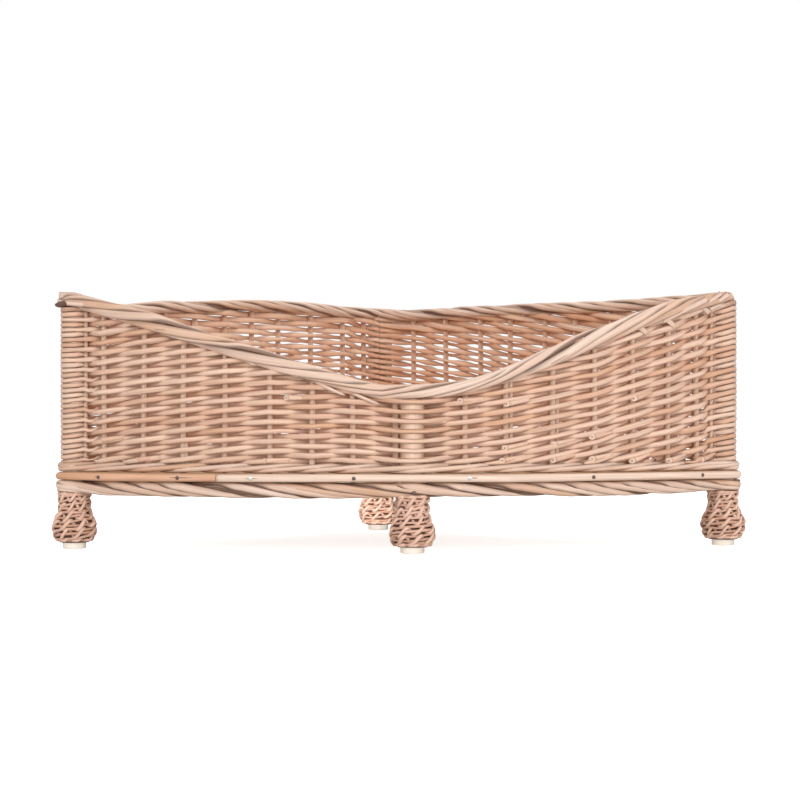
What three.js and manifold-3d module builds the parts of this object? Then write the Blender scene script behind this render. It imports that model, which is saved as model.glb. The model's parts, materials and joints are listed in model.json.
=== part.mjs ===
// Quarter-round corner basket in peeled willow for a small pet: two straight back walls at a right
// angle, a bowed front wall with a dipped way in, and four dowel posts that run down into woven feet.
// Millimetres, +Z up, front to -Y. The origin is on the floor under the middle of the overall box.
import * as THREE from 'three';
import { mergeVertices } from 'three/addons/utils/BufferGeometryUtils.js';
import Module from 'manifold-3d';

const wasm = await Module();
wasm.setup();

// Plan
const wallLength = 460; // back wall between post axes
const frontBow = 105; // front post axis ahead of the line through the side posts

// Posts and stakes
const postDiameter = 23;
const postChamfer = 1.2; // round the edge of each peg tip
const stakeDiameter = 5;
const stakeTuck = 6; // how far a stake runs up into the rim
const stakeRise = 0.8; // stake ends stop this far inside the foot border
const strandThickness = 4.5; // one woven strand
const pressedStrand = 2.5; // a siding strand, pulled flat over a post

// Stakes of each wall: how many, how far the first one stands from its post, and how far each
// strays from even spacing, as set by hand
const frontLeftStakes = { count: 8, first: 16.6, stray: [0, -1, -4, -4, -1, 0, 1, 5] };
const frontRightStakes = { count: 7, first: 51, stray: [0, -2, 3, 6, 7, 8, 3] };
const backLeftStakes = { count: 10, first: 26, stray: [0, -7, 3, 11, 10, 8, 8, 8, 9, 6] };
const backRightStakes = { count: 10, first: 17, stray: [0, -8, -6, -1, -4, -1, -5, -4, -3, -3] };

// Heights of the layers, from the floor up
const pegTip = 7; // bare dowel below a foot wrap
const footHeight = 49;
const borderHeight = 11.4;
const boardThickness = 7.8;
const waleHeight = 10;
const rimThickness = 14;

// Top of the rim above the floor, and what the hand-made corners and the way in differ from it
const rimHeight = 254; // at the back post
const leftRimFall = 2;
const rightRimRise = 3;
const dipDepth = 93.5;

// Shape of the dip on each side of the front post: half its level length, and how straight its
// slope is, from 0 for an S-curve to 1 for a plain ramp
const dipLeft = { level: 28, straight: 0.75 };
const dipRight = { level: 5, straight: 0.2 };

// Hand-made rise and fall of the back rims from their straight lines, as [share of the wall, rise]
const backRightWander = [[0, 0], [0.28, -3.2], [0.72, -1.9], [0.85, -3], [1, 0]];
const backLeftWander = [[0, 0], [0.38, 3.8], [0.7, -1.8], [0.88, -8], [1, 0]];

// Widths across the wall
const sidingHalf = stakeDiameter / 2 + strandThickness;
const crossingHalf = 3; // siding midway between stakes, where its strands cross from side to side
const waleHalf = 7.6;
const borderInside = 10; // foot border, inward and outward of the stakes
const borderOutside = 13.5;
const boardMargin = 14; // board edge outside the post axes
const stripDepth = 4.5;
const stripRound = 1.6; // how far the strip's top and bottom edges are rounded back
const rimWidth = 22;
const rimTopRound = 5;
const rimUnderRound = 3;

// Butt joint of the two front edge strips, measured along the wall from the front post
const stripJoint = 184;

// Slots between the strands of the back walls: one to a bay, in even rows
const slotRows = 8;
const slotHeight = 4;
const slotMargin = 9; // siding left between a slot and the stake beside it
const nearPost = 24; // a stake this close to a post is wrapped as one with it

// Woven foot: radii, and the shares of its height, from the top down, where it starts to swell
// and where it is widest
const footTopRadius = 17;
const footBulgeRadius = 23.3;
const footTipRadius = 15;
const footNeck = 0.3;
const footBulge = 0.7;

// Clearances
const seatGap = 0.3; // between pieces that touch on the real basket
const cornerGap = 0.3; // between walls that meet on a post's mitre
const cutPast = 10; // how far a cutting tool runs past what it cuts

// Facets
const arcStep = 24; // longest step along the bowed wall
const rimStep = 39; // longest step along a straight wall's rim
const postSides = 16;
const stakeSides = 6;
const footSteps = 10; // rings down a foot, one of them at the bulge
const cornerSteps = 3;
const leastStep = 1; // stations closer together than this are taken as one

// Derived plan
const postRadius = postDiameter / 2;
const stakeRadius = stakeDiameter / 2;
const collarRadius = postRadius + strandThickness;
const pressedRadius = postRadius + pressedStrand;
const sideX = wallLength / Math.SQRT2;
const arcRadius = (sideX * sideX + frontBow * frontBow) / (2 * frontBow);
const arcHalfAngle = Math.asin(sideX / arcRadius);
const postAt = {
  left: new THREE.Vector2(-sideX, 0),
  front: new THREE.Vector2(0, -frontBow),
  right: new THREE.Vector2(sideX, 0),
  back: new THREE.Vector2(0, sideX),
};
const middleY = (sideX - frontBow) / 2;

// Derived heights
const footTop = pegTip + footHeight;
const borderBottom = footTop + seatGap;
const borderTop = borderBottom + borderHeight;
const boardBottom = borderTop + seatGap;
const boardTop = boardBottom + boardThickness;
const waleBottom = boardTop + seatGap;
const waleTop = waleBottom + waleHeight;
const sidingBottom = waleTop + seatGap;
const stakeBottom = borderBottom + stakeRise;
const rimAtLeft = rimHeight - leftRimFall;
const rimAtRight = rimHeight + rightRimRise;
const rimAtDip = rimHeight - dipDepth;
const aboveRim = Math.max(rimAtLeft, rimAtRight, rimHeight) + cutPast;

// Height of the front rim, s being the distance along the wall from the left post
function dipHeight(s, length) {
  const fromFront = s - length / 2;
  const side = fromFront < 0 ? dipLeft : dipRight;
  const rise = (fromFront < 0 ? rimAtLeft : rimAtRight) - rimAtDip;
  const share = (Math.abs(fromFront) - side.level) / (length / 2 - side.level);
  const ramp = THREE.MathUtils.clamp(share, 0, 1);
  const curve = THREE.MathUtils.smoothstep(ramp, 0, 1);
  return rimAtDip + rise * THREE.MathUtils.lerp(curve, ramp, side.straight);
}

// Height of a back rim: a straight line between its posts, plus its wander, eased from point to point
function backHeight(from, to, wander) {
  return (s, length) => {
    const share = s / length;
    let height = THREE.MathUtils.lerp(from, to, share);
    for (let i = 1; i < wander.length; i += 1) {
      const [start, riseBefore] = wander[i - 1];
      const [end, rise] = wander[i];
      height += (rise - riseBefore) * THREE.MathUtils.smoothstep(share, start, end);
    }
    return height;
  };
}

// Distances of one run of stakes from the post where its count begins
function stakeRun({ count, first, stray }, length) {
  const spacing = (length - first) / count;
  return Array.from({ length: count }, (_, i) => first + spacing * i + stray[i]);
}

// A wall runs anticlockwise seen from above. at(s) gives the place, the outward direction and the
// direction of travel at the distance s from its first post. plainStep and shapedStep are the
// longest steps along it for pieces of one height and for pieces that follow the rim
function straightWall(from, to, height) {
  const length = from.distanceTo(to);
  const along = to.clone().sub(from).normalize();
  const outward = new THREE.Vector2(along.y, -along.x);
  return {
    length,
    plainStep: length,
    shapedStep: rimStep,
    height: (s) => height(s, length),
    at: (s) => ({ s, point: from.clone().addScaledVector(along, s), outward, along }),
  };
}

function arcWall(height) {
  const length = 2 * arcHalfAngle * arcRadius;
  return {
    length,
    plainStep: arcStep,
    shapedStep: arcStep,
    height: (s) => height(s, length),
    at: (s) => {
      const angle = s / arcRadius - arcHalfAngle;
      const outward = new THREE.Vector2(Math.sin(angle), -Math.cos(angle));
      const point = outward.clone().multiplyScalar(arcRadius);
      point.y += arcRadius - frontBow;
      const along = new THREE.Vector2(Math.cos(angle), Math.sin(angle));
      return { s, point, outward, along };
    },
  };
}

const front = arcWall(dipHeight);
const backRightHeight = backHeight(rimAtRight, rimHeight, backRightWander);
const backLeftHeight = backHeight(rimHeight, rimAtLeft, backLeftWander);
const backRight = straightWall(postAt.right, postAt.back, backRightHeight);
const backLeft = straightWall(postAt.back, postAt.left, backLeftHeight);

const frontMiddle = front.length / 2;
front.stakes = [
  ...stakeRun(frontLeftStakes, frontMiddle).map((s) => frontMiddle - s).reverse(),
  ...stakeRun(frontRightStakes, frontMiddle).map((s) => frontMiddle + s),
];
backRight.stakes = stakeRun(backRightStakes, backRight.length).map((s) => backRight.length - s).reverse();
backLeft.stakes = stakeRun(backLeftStakes, backLeft.length);

front.posts = [0, frontMiddle, front.length];
backRight.posts = [0, backRight.length];
backLeft.posts = [0, backLeft.length];

const walls = { front, back_right: backRight, back_left: backLeft };
front.before = backLeft;
front.after = backRight;
backRight.before = front;
backRight.after = backLeft;
backLeft.before = backRight;
backLeft.after = front;

const rimBottom = (wall, s) => wall.height(s) - rimThickness;

// Lowest underside of the rim within reach of a place on a wall
function lowestRim(wall, s, reach) {
  const steps = [-1, -0.5, 0, 0.5, 1].map((share) => s + share * reach);
  return Math.min(...steps.map((step) => rimBottom(wall, THREE.MathUtils.clamp(step, 0, wall.length))));
}

// Lowest underside of the rims round a post, which may stand where two walls meet
function lowestRimAtPost(wall, s, reach) {
  const own = lowestRim(wall, s, reach);
  if (s === 0) {
    return Math.min(own, lowestRim(wall.before, wall.before.length, reach));
  }
  if (s === wall.length) {
    return Math.min(own, lowestRim(wall.after, 0, reach));
  }
  return own;
}

// Stations along a stretch of wall
function stations(wall, longestStep, from = 0, to = wall.length) {
  const steps = Math.ceil((to - from) / longestStep);
  return Array.from({ length: steps + 1 }, (_, i) => wall.at(from + ((to - from) * i) / steps));
}

// Direction of travel through the corner between a wall and the next one
function throughCorner(wall) {
  const arriving = wall.at(wall.length).along;
  const leaving = wall.after.at(0).along;
  return arriving.clone().add(leaving).normalize();
}

// Stations that turn about a post, from a wall's outward direction to the corner's mitre
function cornerStations(station, towards, radius) {
  const start = station.outward.angle();
  const mitre = new THREE.Vector2(towards.y, -towards.x).angle();
  const gap = cornerGap / 2 / radius;
  const turn = THREE.MathUtils.euclideanModulo(mitre - start + Math.PI, 2 * Math.PI) - Math.PI;
  const swept = turn - Math.sign(turn) * gap;
  return Array.from({ length: cornerSteps }, (_, i) => {
    const angle = start + (swept * (i + 1)) / cornerSteps;
    const outward = new THREE.Vector2(Math.cos(angle), Math.sin(angle));
    return { ...station, outward };
  });
}

// Closed solid that carries a section along stations. The section is a convex loop of
// [outward, height] pairs, anticlockwise with outward to the right
function sweep(stationList, section) {
  const positions = [];
  const index = [];
  let sides = 0;
  for (const station of stationList) {
    const loop = section(station);
    sides = loop.length;
    for (const [offset, z] of loop) {
      const place = station.point.clone().addScaledVector(station.outward, offset);
      positions.push(place.x, place.y, z);
    }
  }
  for (let i = 0; i < stationList.length - 1; i += 1) {
    for (let j = 0; j < sides; j += 1) {
      const a = i * sides + j;
      const b = i * sides + ((j + 1) % sides);
      index.push(a, a + sides, b + sides, a, b + sides, b);
    }
  }
  const last = (stationList.length - 1) * sides;
  for (let j = 1; j < sides - 1; j += 1) {
    index.push(0, j, j + 1);
    index.push(last, last + j + 1, last + j);
  }
  const geometry = new THREE.BufferGeometry();
  geometry.setAttribute('position', new THREE.Float32BufferAttribute(positions, 3));
  geometry.setIndex(index);
  return geometry;
}

// Upright cylinder on a place in plan
function upright(place, radius, bottom, top, sides) {
  const geometry = new THREE.CylinderGeometry(radius, radius, top - bottom, sides);
  geometry.rotateX(Math.PI / 2);
  geometry.translate(place.x, place.y, (top + bottom) / 2);
  return geometry;
}

// Geometry to solid and back, for joining and cutting
function solid(geometry) {
  const bare = geometry.clone();
  bare.deleteAttribute('normal');
  bare.deleteAttribute('uv');
  const merged = mergeVertices(bare, 1e-4);
  return new wasm.Manifold(new wasm.Mesh({
    numProp: 3,
    vertProperties: new Float32Array(merged.attributes.position.array),
    triVerts: new Uint32Array(merged.index.array),
  }));
}

function geometryOf(manifold) {
  const mesh = manifold.getMesh();
  const geometry = new THREE.BufferGeometry();
  geometry.setAttribute('position', new THREE.Float32BufferAttribute(mesh.vertProperties, 3));
  geometry.setIndex(Array.from(mesh.triVerts));
  geometry.computeVertexNormals();
  return geometry;
}

// Block that covers everything past a corner's mitre, on the side that direction points to
function pastMitre(place, direction) {
  const size = 2 * wallLength;
  const block = new THREE.BoxGeometry(size, size, size);
  block.rotateZ(direction.angle());
  const reach = size / 2 - cornerGap / 2;
  block.translate(place.x + direction.x * reach, place.y + direction.y * reach, 0);
  return solid(block);
}

function trimCorners(piece, wall) {
  const start = wall.at(0).point;
  const end = wall.at(wall.length).point;
  const intoStart = throughCorner(wall.before).multiplyScalar(-1);
  const outOfEnd = throughCorner(wall);
  return piece.subtract(pastMitre(start, intoStart)).subtract(pastMitre(end, outOfEnd));
}

// Cut the ways for posts and stakes through a piece, between two heights
function cutPosts(piece, wall, bottom, top) {
  let result = piece;
  for (const s of wall.posts) {
    const hole = upright(wall.at(s).point, postRadius + seatGap, bottom, top, postSides);
    result = result.subtract(solid(hole));
  }
  return result;
}

function cutStakes(piece, wall, bottom, topAt) {
  let result = piece;
  for (const s of wall.stakes) {
    const bore = upright(wall.at(s).point, stakeRadius + seatGap, bottom, topAt(s), stakeSides);
    result = result.subtract(solid(bore));
  }
  return result;
}

// Stations of a band with the same reach inside and outside all along a wall
function evenBand(wall, inside, outside) {
  return stations(wall, wall.plainStep).map((station) => ({ ...station, inside, outside }));
}

// Woven band of one wall: a slab between posts with a round collar over each post
function wovenBand(wall, { list, bottom, topAt, collarTopAt, overPost = collarRadius }) {
  const slab = sweep(list, ({ s, inside, outside }) => [
    [-inside, bottom],
    [outside, bottom],
    [outside, topAt(s)],
    [-inside, topAt(s)],
  ]);
  let band = solid(slab);
  for (const s of wall.posts) {
    const collar = upright(wall.at(s).point, overPost, bottom, collarTopAt(s), postSides);
    band = band.add(solid(collar));
  }
  band = cutPosts(trimCorners(band, wall), wall, bottom - cutPast, aboveRim);
  return cutStakes(band, wall, bottom - cutPast, () => aboveRim);
}

function footBorder(wall) {
  return wovenBand(wall, {
    list: evenBand(wall, borderInside, borderOutside),
    bottom: borderBottom,
    topAt: () => borderTop,
    collarTopAt: () => borderTop,
  });
}

function wale(wall) {
  return wovenBand(wall, {
    list: evenBand(wall, waleHalf, waleHalf),
    bottom: waleBottom,
    topAt: () => waleTop,
    collarTopAt: () => waleTop,
  });
}

// Bays between neighbouring stakes, leaving out those that hold a post or a stake close to one
function openBays(wall) {
  const free = wall.stakes.filter((s) => wall.posts.every((post) => Math.abs(s - post) > nearPost));
  const pairs = free.slice(1).map((to, i) => [free[i], to]);
  return pairs.filter(([from, to]) => wall.posts.every((post) => post < from || post > to));
}

// Stations of the siding. It bulges over each stake and is thin midway between two, and has the rim's
// own stations too, so that its top keeps to the rim's underside
function sidingBand(wall) {
  const bays = openBays(wall);
  const rimStations = stations(wall, wall.shapedStep).map(({ s }) => s);
  const corners = bays.flatMap(([from, to]) => [from, (from + to) / 2, to]);
  const places = [...new Set([...rimStations, ...corners])].sort((a, b) => a - b);
  const spaced = places.filter((s, i) => i === 0 || s === wall.length || s - places[i - 1] > leastStep);
  return spaced.map((s) => {
    const bay = bays.find(([from, to]) => s > from && s < to);
    const share = bay ? Math.abs((2 * s - bay[0] - bay[1]) / (bay[1] - bay[0])) : 1;
    const half = THREE.MathUtils.lerp(crossingHalf, sidingHalf, share);
    return { ...wall.at(s), inside: half, outside: half };
  });
}

// Underside of the rim as its solid has it, straight from station to station
function rimUnderside(wall, s) {
  const steps = Math.ceil(wall.length / wall.shapedStep);
  const share = (s / wall.length) * steps;
  const i = Math.min(Math.floor(share), steps - 1);
  const start = rimBottom(wall, (i * wall.length) / steps);
  const end = rimBottom(wall, ((i + 1) * wall.length) / steps);
  return THREE.MathUtils.lerp(start, end, share - i);
}

function siding(wall) {
  return wovenBand(wall, {
    list: sidingBand(wall),
    bottom: sidingBottom,
    topAt: (s) => rimUnderside(wall, s) - seatGap,
    collarTopAt: (s) => lowestRimAtPost(wall, s, pressedRadius) - seatGap,
    overPost: pressedRadius,
  });
}

// Cut the rows of slots through a back wall's siding, a bay at a time
function cutSlots(piece, wall) {
  let result = piece;
  for (const [from, to] of openBays(wall)) {
    const { s, point, along } = wall.at((from + to) / 2);
    const spacing = (rimUnderside(wall, s) - sidingBottom) / slotRows;
    for (let row = 0; row < slotRows; row += 1) {
      const slot = new THREE.BoxGeometry(to - from - 2 * slotMargin, 4 * sidingHalf, slotHeight);
      slot.rotateZ(along.angle());
      slot.translate(point.x, point.y, sidingBottom + spacing * (row + 0.5));
      result = result.subtract(solid(slot));
    }
  }
  return result;
}

// Rim: a rounded bar, closed by a round end over each corner post and cut on the mitre
function rim(wall) {
  const half = rimWidth / 2;
  const bar = sweep(stations(wall, wall.shapedStep), ({ s }) => {
    const top = wall.height(s);
    const under = rimBottom(wall, s);
    return [
      [-half, under + rimUnderRound],
      [-half + rimUnderRound, under],
      [half - rimUnderRound, under],
      [half, under + rimUnderRound],
      [half, top - rimTopRound],
      [half - rimTopRound, top],
      [-half + rimTopRound, top],
      [-half, top - rimTopRound],
    ];
  });
  let piece = solid(bar);
  for (const s of [0, wall.length]) {
    const top = wall.height(s);
    const under = rimBottom(wall, s);
    const profile = [
      [0, under],
      [half - rimUnderRound, under],
      [half, under + rimUnderRound],
      [half, top - rimTopRound],
      [half - rimTopRound, top],
      [0, top],
    ].map(([radius, z]) => new THREE.Vector2(radius, z));
    const end = new THREE.LatheGeometry(profile, postSides);
    end.rotateX(Math.PI / 2);
    const { point } = wall.at(s);
    end.translate(point.x, point.y, 0);
    piece = piece.add(solid(end));
  }
  piece = trimCorners(piece, wall);
  return cutStakes(piece, wall, sidingBottom, (s) => rimBottom(wall, s) + stakeTuck + seatGap);
}

// Base board: the plan drawn outside the post axes with a round corner about each post
function boardOutline() {
  const outline = [];
  for (const wall of Object.values(walls)) {
    const end = wall.at(wall.length);
    const next = wall.after.at(0);
    const turn = THREE.MathUtils.euclideanModulo(next.outward.angle() - end.outward.angle(), 2 * Math.PI);
    for (const station of stations(wall, wall.plainStep)) {
      outline.push(station.point.clone().addScaledVector(station.outward, boardMargin));
    }
    for (let i = 1; i < 2 * cornerSteps; i += 1) {
      const angle = end.outward.angle() + (turn * i) / (2 * cornerSteps);
      const edge = new THREE.Vector2(Math.cos(angle), Math.sin(angle)).multiplyScalar(boardMargin);
      outline.push(edge.add(end.point));
    }
  }
  return new THREE.Shape(outline);
}

function baseBoard() {
  const blank = new THREE.ExtrudeGeometry(boardOutline(), { depth: boardThickness, bevelEnabled: false });
  blank.translate(0, 0, boardBottom);
  let board = solid(blank);
  for (const wall of Object.values(walls)) {
    board = cutPosts(board, wall, boardBottom - cutPast, boardTop + cutPast);
    board = cutStakes(board, wall, boardBottom - cutPast, () => boardTop + cutPast);
  }
  return board;
}

// Edge strip: a half-round rod nailed over the board's edge, turning each corner to its mitre
function edgeStrip(wall, from, to) {
  const near = boardMargin + seatGap;
  const far = near + stripDepth;
  const list = stations(wall, wall.plainStep, from, to);
  if (from === 0) {
    list.unshift(...cornerStations(list[0], throughCorner(wall.before), near).reverse());
  }
  if (to === wall.length) {
    list.push(...cornerStations(list[list.length - 1], throughCorner(wall), near));
  }
  return sweep(list, () => [
    [near, boardBottom],
    [far - stripRound, boardBottom],
    [far, boardBottom + boardThickness / 3],
    [far, boardTop - boardThickness / 3],
    [far - stripRound, boardTop],
    [near, boardTop],
  ]);
}

// Post: a dowel from the floor to the underside of the rim
function post(top) {
  const profile = [
    [0, 0],
    [postRadius - postChamfer, 0],
    [postRadius, postChamfer],
    [postRadius, top],
    [0, top],
  ].map(([radius, z]) => new THREE.Vector2(radius, z));
  const geometry = new THREE.LatheGeometry(profile, postSides);
  geometry.rotateX(Math.PI / 2);
  return geometry;
}

// Radius of a foot at a share of its height, from the top down: it swells to the bulge and closes
// in a quarter ellipse to the tip
function footRadius(share) {
  if (share <= footBulge) {
    const swell = THREE.MathUtils.smoothstep(share, footNeck, footBulge);
    return THREE.MathUtils.lerp(footTopRadius, footBulgeRadius, swell);
  }
  const fall = (share - footBulge) / (1 - footBulge);
  return THREE.MathUtils.lerp(footTipRadius, footBulgeRadius, Math.sqrt(1 - fall * fall));
}

// Foot wrap: a woven bulb round the peg, bored to let the peg through
function footWrap() {
  const bore = postRadius + seatGap;
  const profile = [new THREE.Vector2(bore, footTop), new THREE.Vector2(bore, pegTip)];
  for (let i = footSteps; i >= 0; i -= 1) {
    const share = i / footSteps;
    profile.push(new THREE.Vector2(footRadius(share), footTop - share * footHeight));
  }
  profile.push(profile[0].clone());
  const geometry = new THREE.LatheGeometry(profile, postSides);
  geometry.rotateX(Math.PI / 2);
  return geometry;
}

// Materials
const finish = (color, roughness) => new THREE.MeshStandardMaterial({ color, roughness, metalness: 0 });
const willow = () => finish(0xcfa58c, 0.6);
const paleWillow = () => finish(0xe1cdbd, 0.55);
const warmWillow = () => finish(0xd7a57d, 0.6);
const footWillow = () => finish(0xb98a76, 0.7);
const dowelWood = () => finish(0xefe4d2, 0.55);
const boardWood = () => finish(0xc9a27c, 0.7);

const basket = new THREE.Group();
basket.position.y = -middleY;

function addMesh(name, geometry, material, x = 0, y = 0, z = 0) {
  const mesh = new THREE.Mesh(geometry, material);
  mesh.name = name;
  mesh.position.set(x, y, z);
  basket.add(mesh);
}

addMesh('base_board', geometryOf(baseBoard()), boardWood());

// Posts and feet
const postPlaces = {
  left: lowestRimAtPost(front, 0, postRadius),
  front: lowestRimAtPost(front, frontMiddle, postRadius),
  right: lowestRimAtPost(front, front.length, postRadius),
  back: lowestRimAtPost(backLeft, 0, postRadius),
};
for (const [side, rimUnder] of Object.entries(postPlaces)) {
  const { x, y } = postAt[side];
  addMesh(`post_${side}`, post(rimUnder - seatGap), dowelWood(), x, y);
  addMesh(`foot_wrap_${side}`, footWrap(), footWillow(), x, y);
}

// Walls
for (const [side, wall] of Object.entries(walls)) {
  addMesh(`foot_border_${side}`, geometryOf(footBorder(wall)), paleWillow());
  addMesh(`wale_${side}`, geometryOf(wale(wall)), willow());
  const weave = wall === front ? siding(wall) : cutSlots(siding(wall), wall);
  addMesh(`siding_${side}`, geometryOf(weave), willow());
  addMesh(`rim_${side}`, geometryOf(rim(wall)), paleWillow());
  wall.stakes.forEach((s, i) => {
    const top = rimBottom(wall, s) + stakeTuck;
    const { x, y } = wall.at(s).point;
    const rod = upright(new THREE.Vector2(), stakeRadius, 0, top - stakeBottom, stakeSides);
    addMesh(`stake_${side}_${String(i + 1).padStart(2, '0')}`, rod, willow(), x, y, stakeBottom);
  });
}

// Edge strips
const jointAt = frontMiddle - stripJoint;
addMesh('edge_strip_front_left', edgeStrip(front, 0, jointAt - seatGap / 2), warmWillow());
addMesh('edge_strip_front_right', edgeStrip(front, jointAt + seatGap / 2, front.length), paleWillow());
addMesh('edge_strip_back_right', edgeStrip(backRight, 0, backRight.length), warmWillow());
addMesh('edge_strip_back_left', edgeStrip(backLeft, 0, backLeft.length), warmWillow());

export default basket;
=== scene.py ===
"""Quarter-round corner basket in peeled willow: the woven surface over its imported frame.

Every rod of the basket is a tube whose route comes from a formula in plan and height. A wall runs
anticlockwise seen from above, and a place on it is a distance along it, an offset outward and a height.
"""

import json
import math

import bpy
import numpy as np
from bpy.props import FloatProperty, FloatVectorProperty, PointerProperty
from bpy.types import Operator, Panel, PropertyGroup
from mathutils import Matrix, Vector

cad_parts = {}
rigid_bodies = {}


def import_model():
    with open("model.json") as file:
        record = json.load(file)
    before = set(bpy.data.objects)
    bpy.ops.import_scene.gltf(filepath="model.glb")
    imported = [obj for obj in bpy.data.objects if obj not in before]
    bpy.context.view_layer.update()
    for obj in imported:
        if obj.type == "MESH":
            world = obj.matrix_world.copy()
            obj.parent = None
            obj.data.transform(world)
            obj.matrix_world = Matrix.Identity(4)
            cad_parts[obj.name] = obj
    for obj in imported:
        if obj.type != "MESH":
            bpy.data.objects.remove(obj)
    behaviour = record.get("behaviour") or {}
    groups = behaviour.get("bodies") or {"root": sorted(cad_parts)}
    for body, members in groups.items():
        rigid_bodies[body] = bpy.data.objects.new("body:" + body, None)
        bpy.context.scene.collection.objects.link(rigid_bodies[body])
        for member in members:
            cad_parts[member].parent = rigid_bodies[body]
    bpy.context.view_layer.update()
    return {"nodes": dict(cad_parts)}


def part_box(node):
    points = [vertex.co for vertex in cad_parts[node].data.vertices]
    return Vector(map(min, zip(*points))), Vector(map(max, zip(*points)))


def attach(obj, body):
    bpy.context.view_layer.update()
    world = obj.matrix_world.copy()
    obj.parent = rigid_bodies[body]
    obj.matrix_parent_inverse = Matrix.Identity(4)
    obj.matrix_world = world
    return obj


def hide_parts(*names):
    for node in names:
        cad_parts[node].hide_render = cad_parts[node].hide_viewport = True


bl_info = {
    "name": "Corner Basket Dresser",
    "version": (1, 0, 0),
    "blender": (4, 5, 0),
    "location": "View3D > Sidebar > Corner Basket",
    "description": "Weaves the willow of a quarter-round corner basket round its frame",
    "category": "Object",
}

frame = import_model()

MM = 0.001
BODY = "root"

# Heights of the layers above the floor, and the thickness of the rims
BORDER_BOTTOM = 56.3 * MM
BORDER_TOP = 67.7 * MM
BOARD_TOP = 75.8 * MM
WALE_TOP = 86.1 * MM
SIDING_BOTTOM = 86.4 * MM
RIM_THICKNESS = 14 * MM

# Top of the rim above the floor, and the shape of the dip on each side of the front post: half its
# level length, and how straight its slope is
RIM_AT = {"left": 252 * MM, "right": 257 * MM, "back": 254 * MM, "dip": 160.5 * MM}
DIP_LEFT = {"level": 28 * MM, "straight": 0.75}
DIP_RIGHT = {"level": 5 * MM, "straight": 0.2}

# Hand-made rise and fall of the back rims from straight lines, as shares of the wall and rises in mm
BACK_RIGHT_WANDER = ((0, 0), (0.28, -3.2), (0.72, -1.9), (0.85, -3), (1, 0))
BACK_LEFT_WANDER = ((0, 0), (0.38, 3.8), (0.7, -1.8), (0.88, -8), (1, 0))

POST_RADIUS = 11.5 * MM
STAKE_RADIUS = 2.8 * MM
CLOSE_STAKE = 24 * MM  # a stake this near a post is no station of its own
CORNER_ROUND = 14 * MM  # radius at which a distance past a corner post turns into an angle
BAY_STEPS = 14  # rings along a strand from one stake to the next
FAN_STEPS = 7  # rings along a strand from a corner post to its mitre
LEFT_POST_STAKE = 14 * MM  # stake beside each side post of the front wall, along the wall
RIGHT_POST_STAKE = 678 * MM
FIBRE_SHIFTS = 40.0  # greatest random shift of a rod's fibre pattern along it, in metres
MOST_RODS = 64  # most rods in one strand


# Curves
def hermite(f, start, end, start_slope, end_slope):
    """Cubic from start to end as f goes from 0 to 1, with the given slopes at its two ends."""
    f2, f3 = f * f, f * f * f
    rising = 3 * f2 - 2 * f3
    return start + (end - start) * rising + start_slope * (f3 - 2 * f2 + f) + end_slope * (f3 - f2)


def smoothstep(x, low=0.0, high=1.0):
    """0 below low, 1 above high, and an S-curve between them."""
    f = np.clip((x - low) / (high - low), 0, 1)
    return f * f * (3 - 2 * f)


def spline(x, xs, ys):
    """Cubic through the points (xs, ys), with each slope the mean of its neighbours' slopes."""
    xs, ys = np.asarray(xs, float), np.asarray(ys, float)
    slope = np.gradient(ys, xs)
    i = np.clip(np.searchsorted(xs, x, side="right") - 1, 0, len(xs) - 2)
    step = xs[i + 1] - xs[i]
    return hermite((x - xs[i]) / step, ys[i], ys[i + 1], slope[i] * step, slope[i + 1] * step)


def unit(vectors):
    return vectors / np.linalg.norm(vectors, axis=-1, keepdims=True)


def runs(alive):
    """Start and end of each stretch of True values."""
    edges = np.flatnonzero(np.diff(np.concatenate([[False], alive, [False]]).astype(int)))
    return zip(edges[0::2], edges[1::2])


# Plan
def middle(node):
    """Middle of a node in plan."""
    low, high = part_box(node)
    return np.array([(low.x + high.x) / 2, (low.y + high.y) / 2])


class Wall:
    """One wall in plan, from post to post. frame_at() gives points on its line and the outward
    directions there; past an end post, place() turns about the post instead of going on."""

    def __init__(self, name, start, end, stakes, through=None):
        self.name = name
        chord = end - start
        self.chord = np.hypot(*chord)
        self.along = chord / self.chord
        self.start = start
        self.arc = through is not None
        if self.arc:
            half = self.chord / 2
            bow = np.hypot(*(through - (start + end) / 2))
            self.radius = (half**2 + bow**2) / (2 * bow)
            self.half_angle = math.asin(half / self.radius)
            self.length = 2 * self.half_angle * self.radius
            self.outward = (through - (start + end) / 2) / bow
            self.centre = through - self.outward * self.radius
        else:
            self.length = self.chord
            self.outward = np.array([self.along[1], -self.along[0]])
        self.stakes = np.array(sorted(self.distance_to(middle(node)) for node in stakes))

    def distance_to(self, place):
        """Distance along the wall of a place on it."""
        if not self.arc:
            return float((place - self.start) @ self.along)
        ray = place - self.centre
        return (math.atan2(ray @ self.along, ray @ self.outward) + self.half_angle) * self.radius

    def frame_at(self, s):
        if self.arc:
            angle = s / self.radius - self.half_angle
            outward = np.cos(angle)[:, None] * self.outward + np.sin(angle)[:, None] * self.along
            return self.centre + self.radius * outward, outward
        return self.start + s[:, None] * self.along, np.broadcast_to(self.outward, (len(s), 2))

    def place(self, t, out, z):
        """Points at the distances t, and the outward directions there, turned about an end post where
        t is past it."""
        t, out, z = np.broadcast_arrays(np.asarray(t, float), out, z)
        s = np.clip(t, 0, self.length)
        turn = (t - s) / CORNER_ROUND
        point, outward = self.frame_at(s)
        cos, sin = np.cos(turn), np.sin(turn)
        turned = np.column_stack([
            cos * outward[:, 0] - sin * outward[:, 1],
            sin * outward[:, 0] + cos * outward[:, 1],
        ])
        plan = point + out[:, None] * turned
        return np.column_stack([plan, z]), np.column_stack([turned, np.zeros(len(t))])


def stake_nodes(side):
    return [node for node in frame["nodes"] if node.startswith(f"stake_{side}_")]


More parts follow.
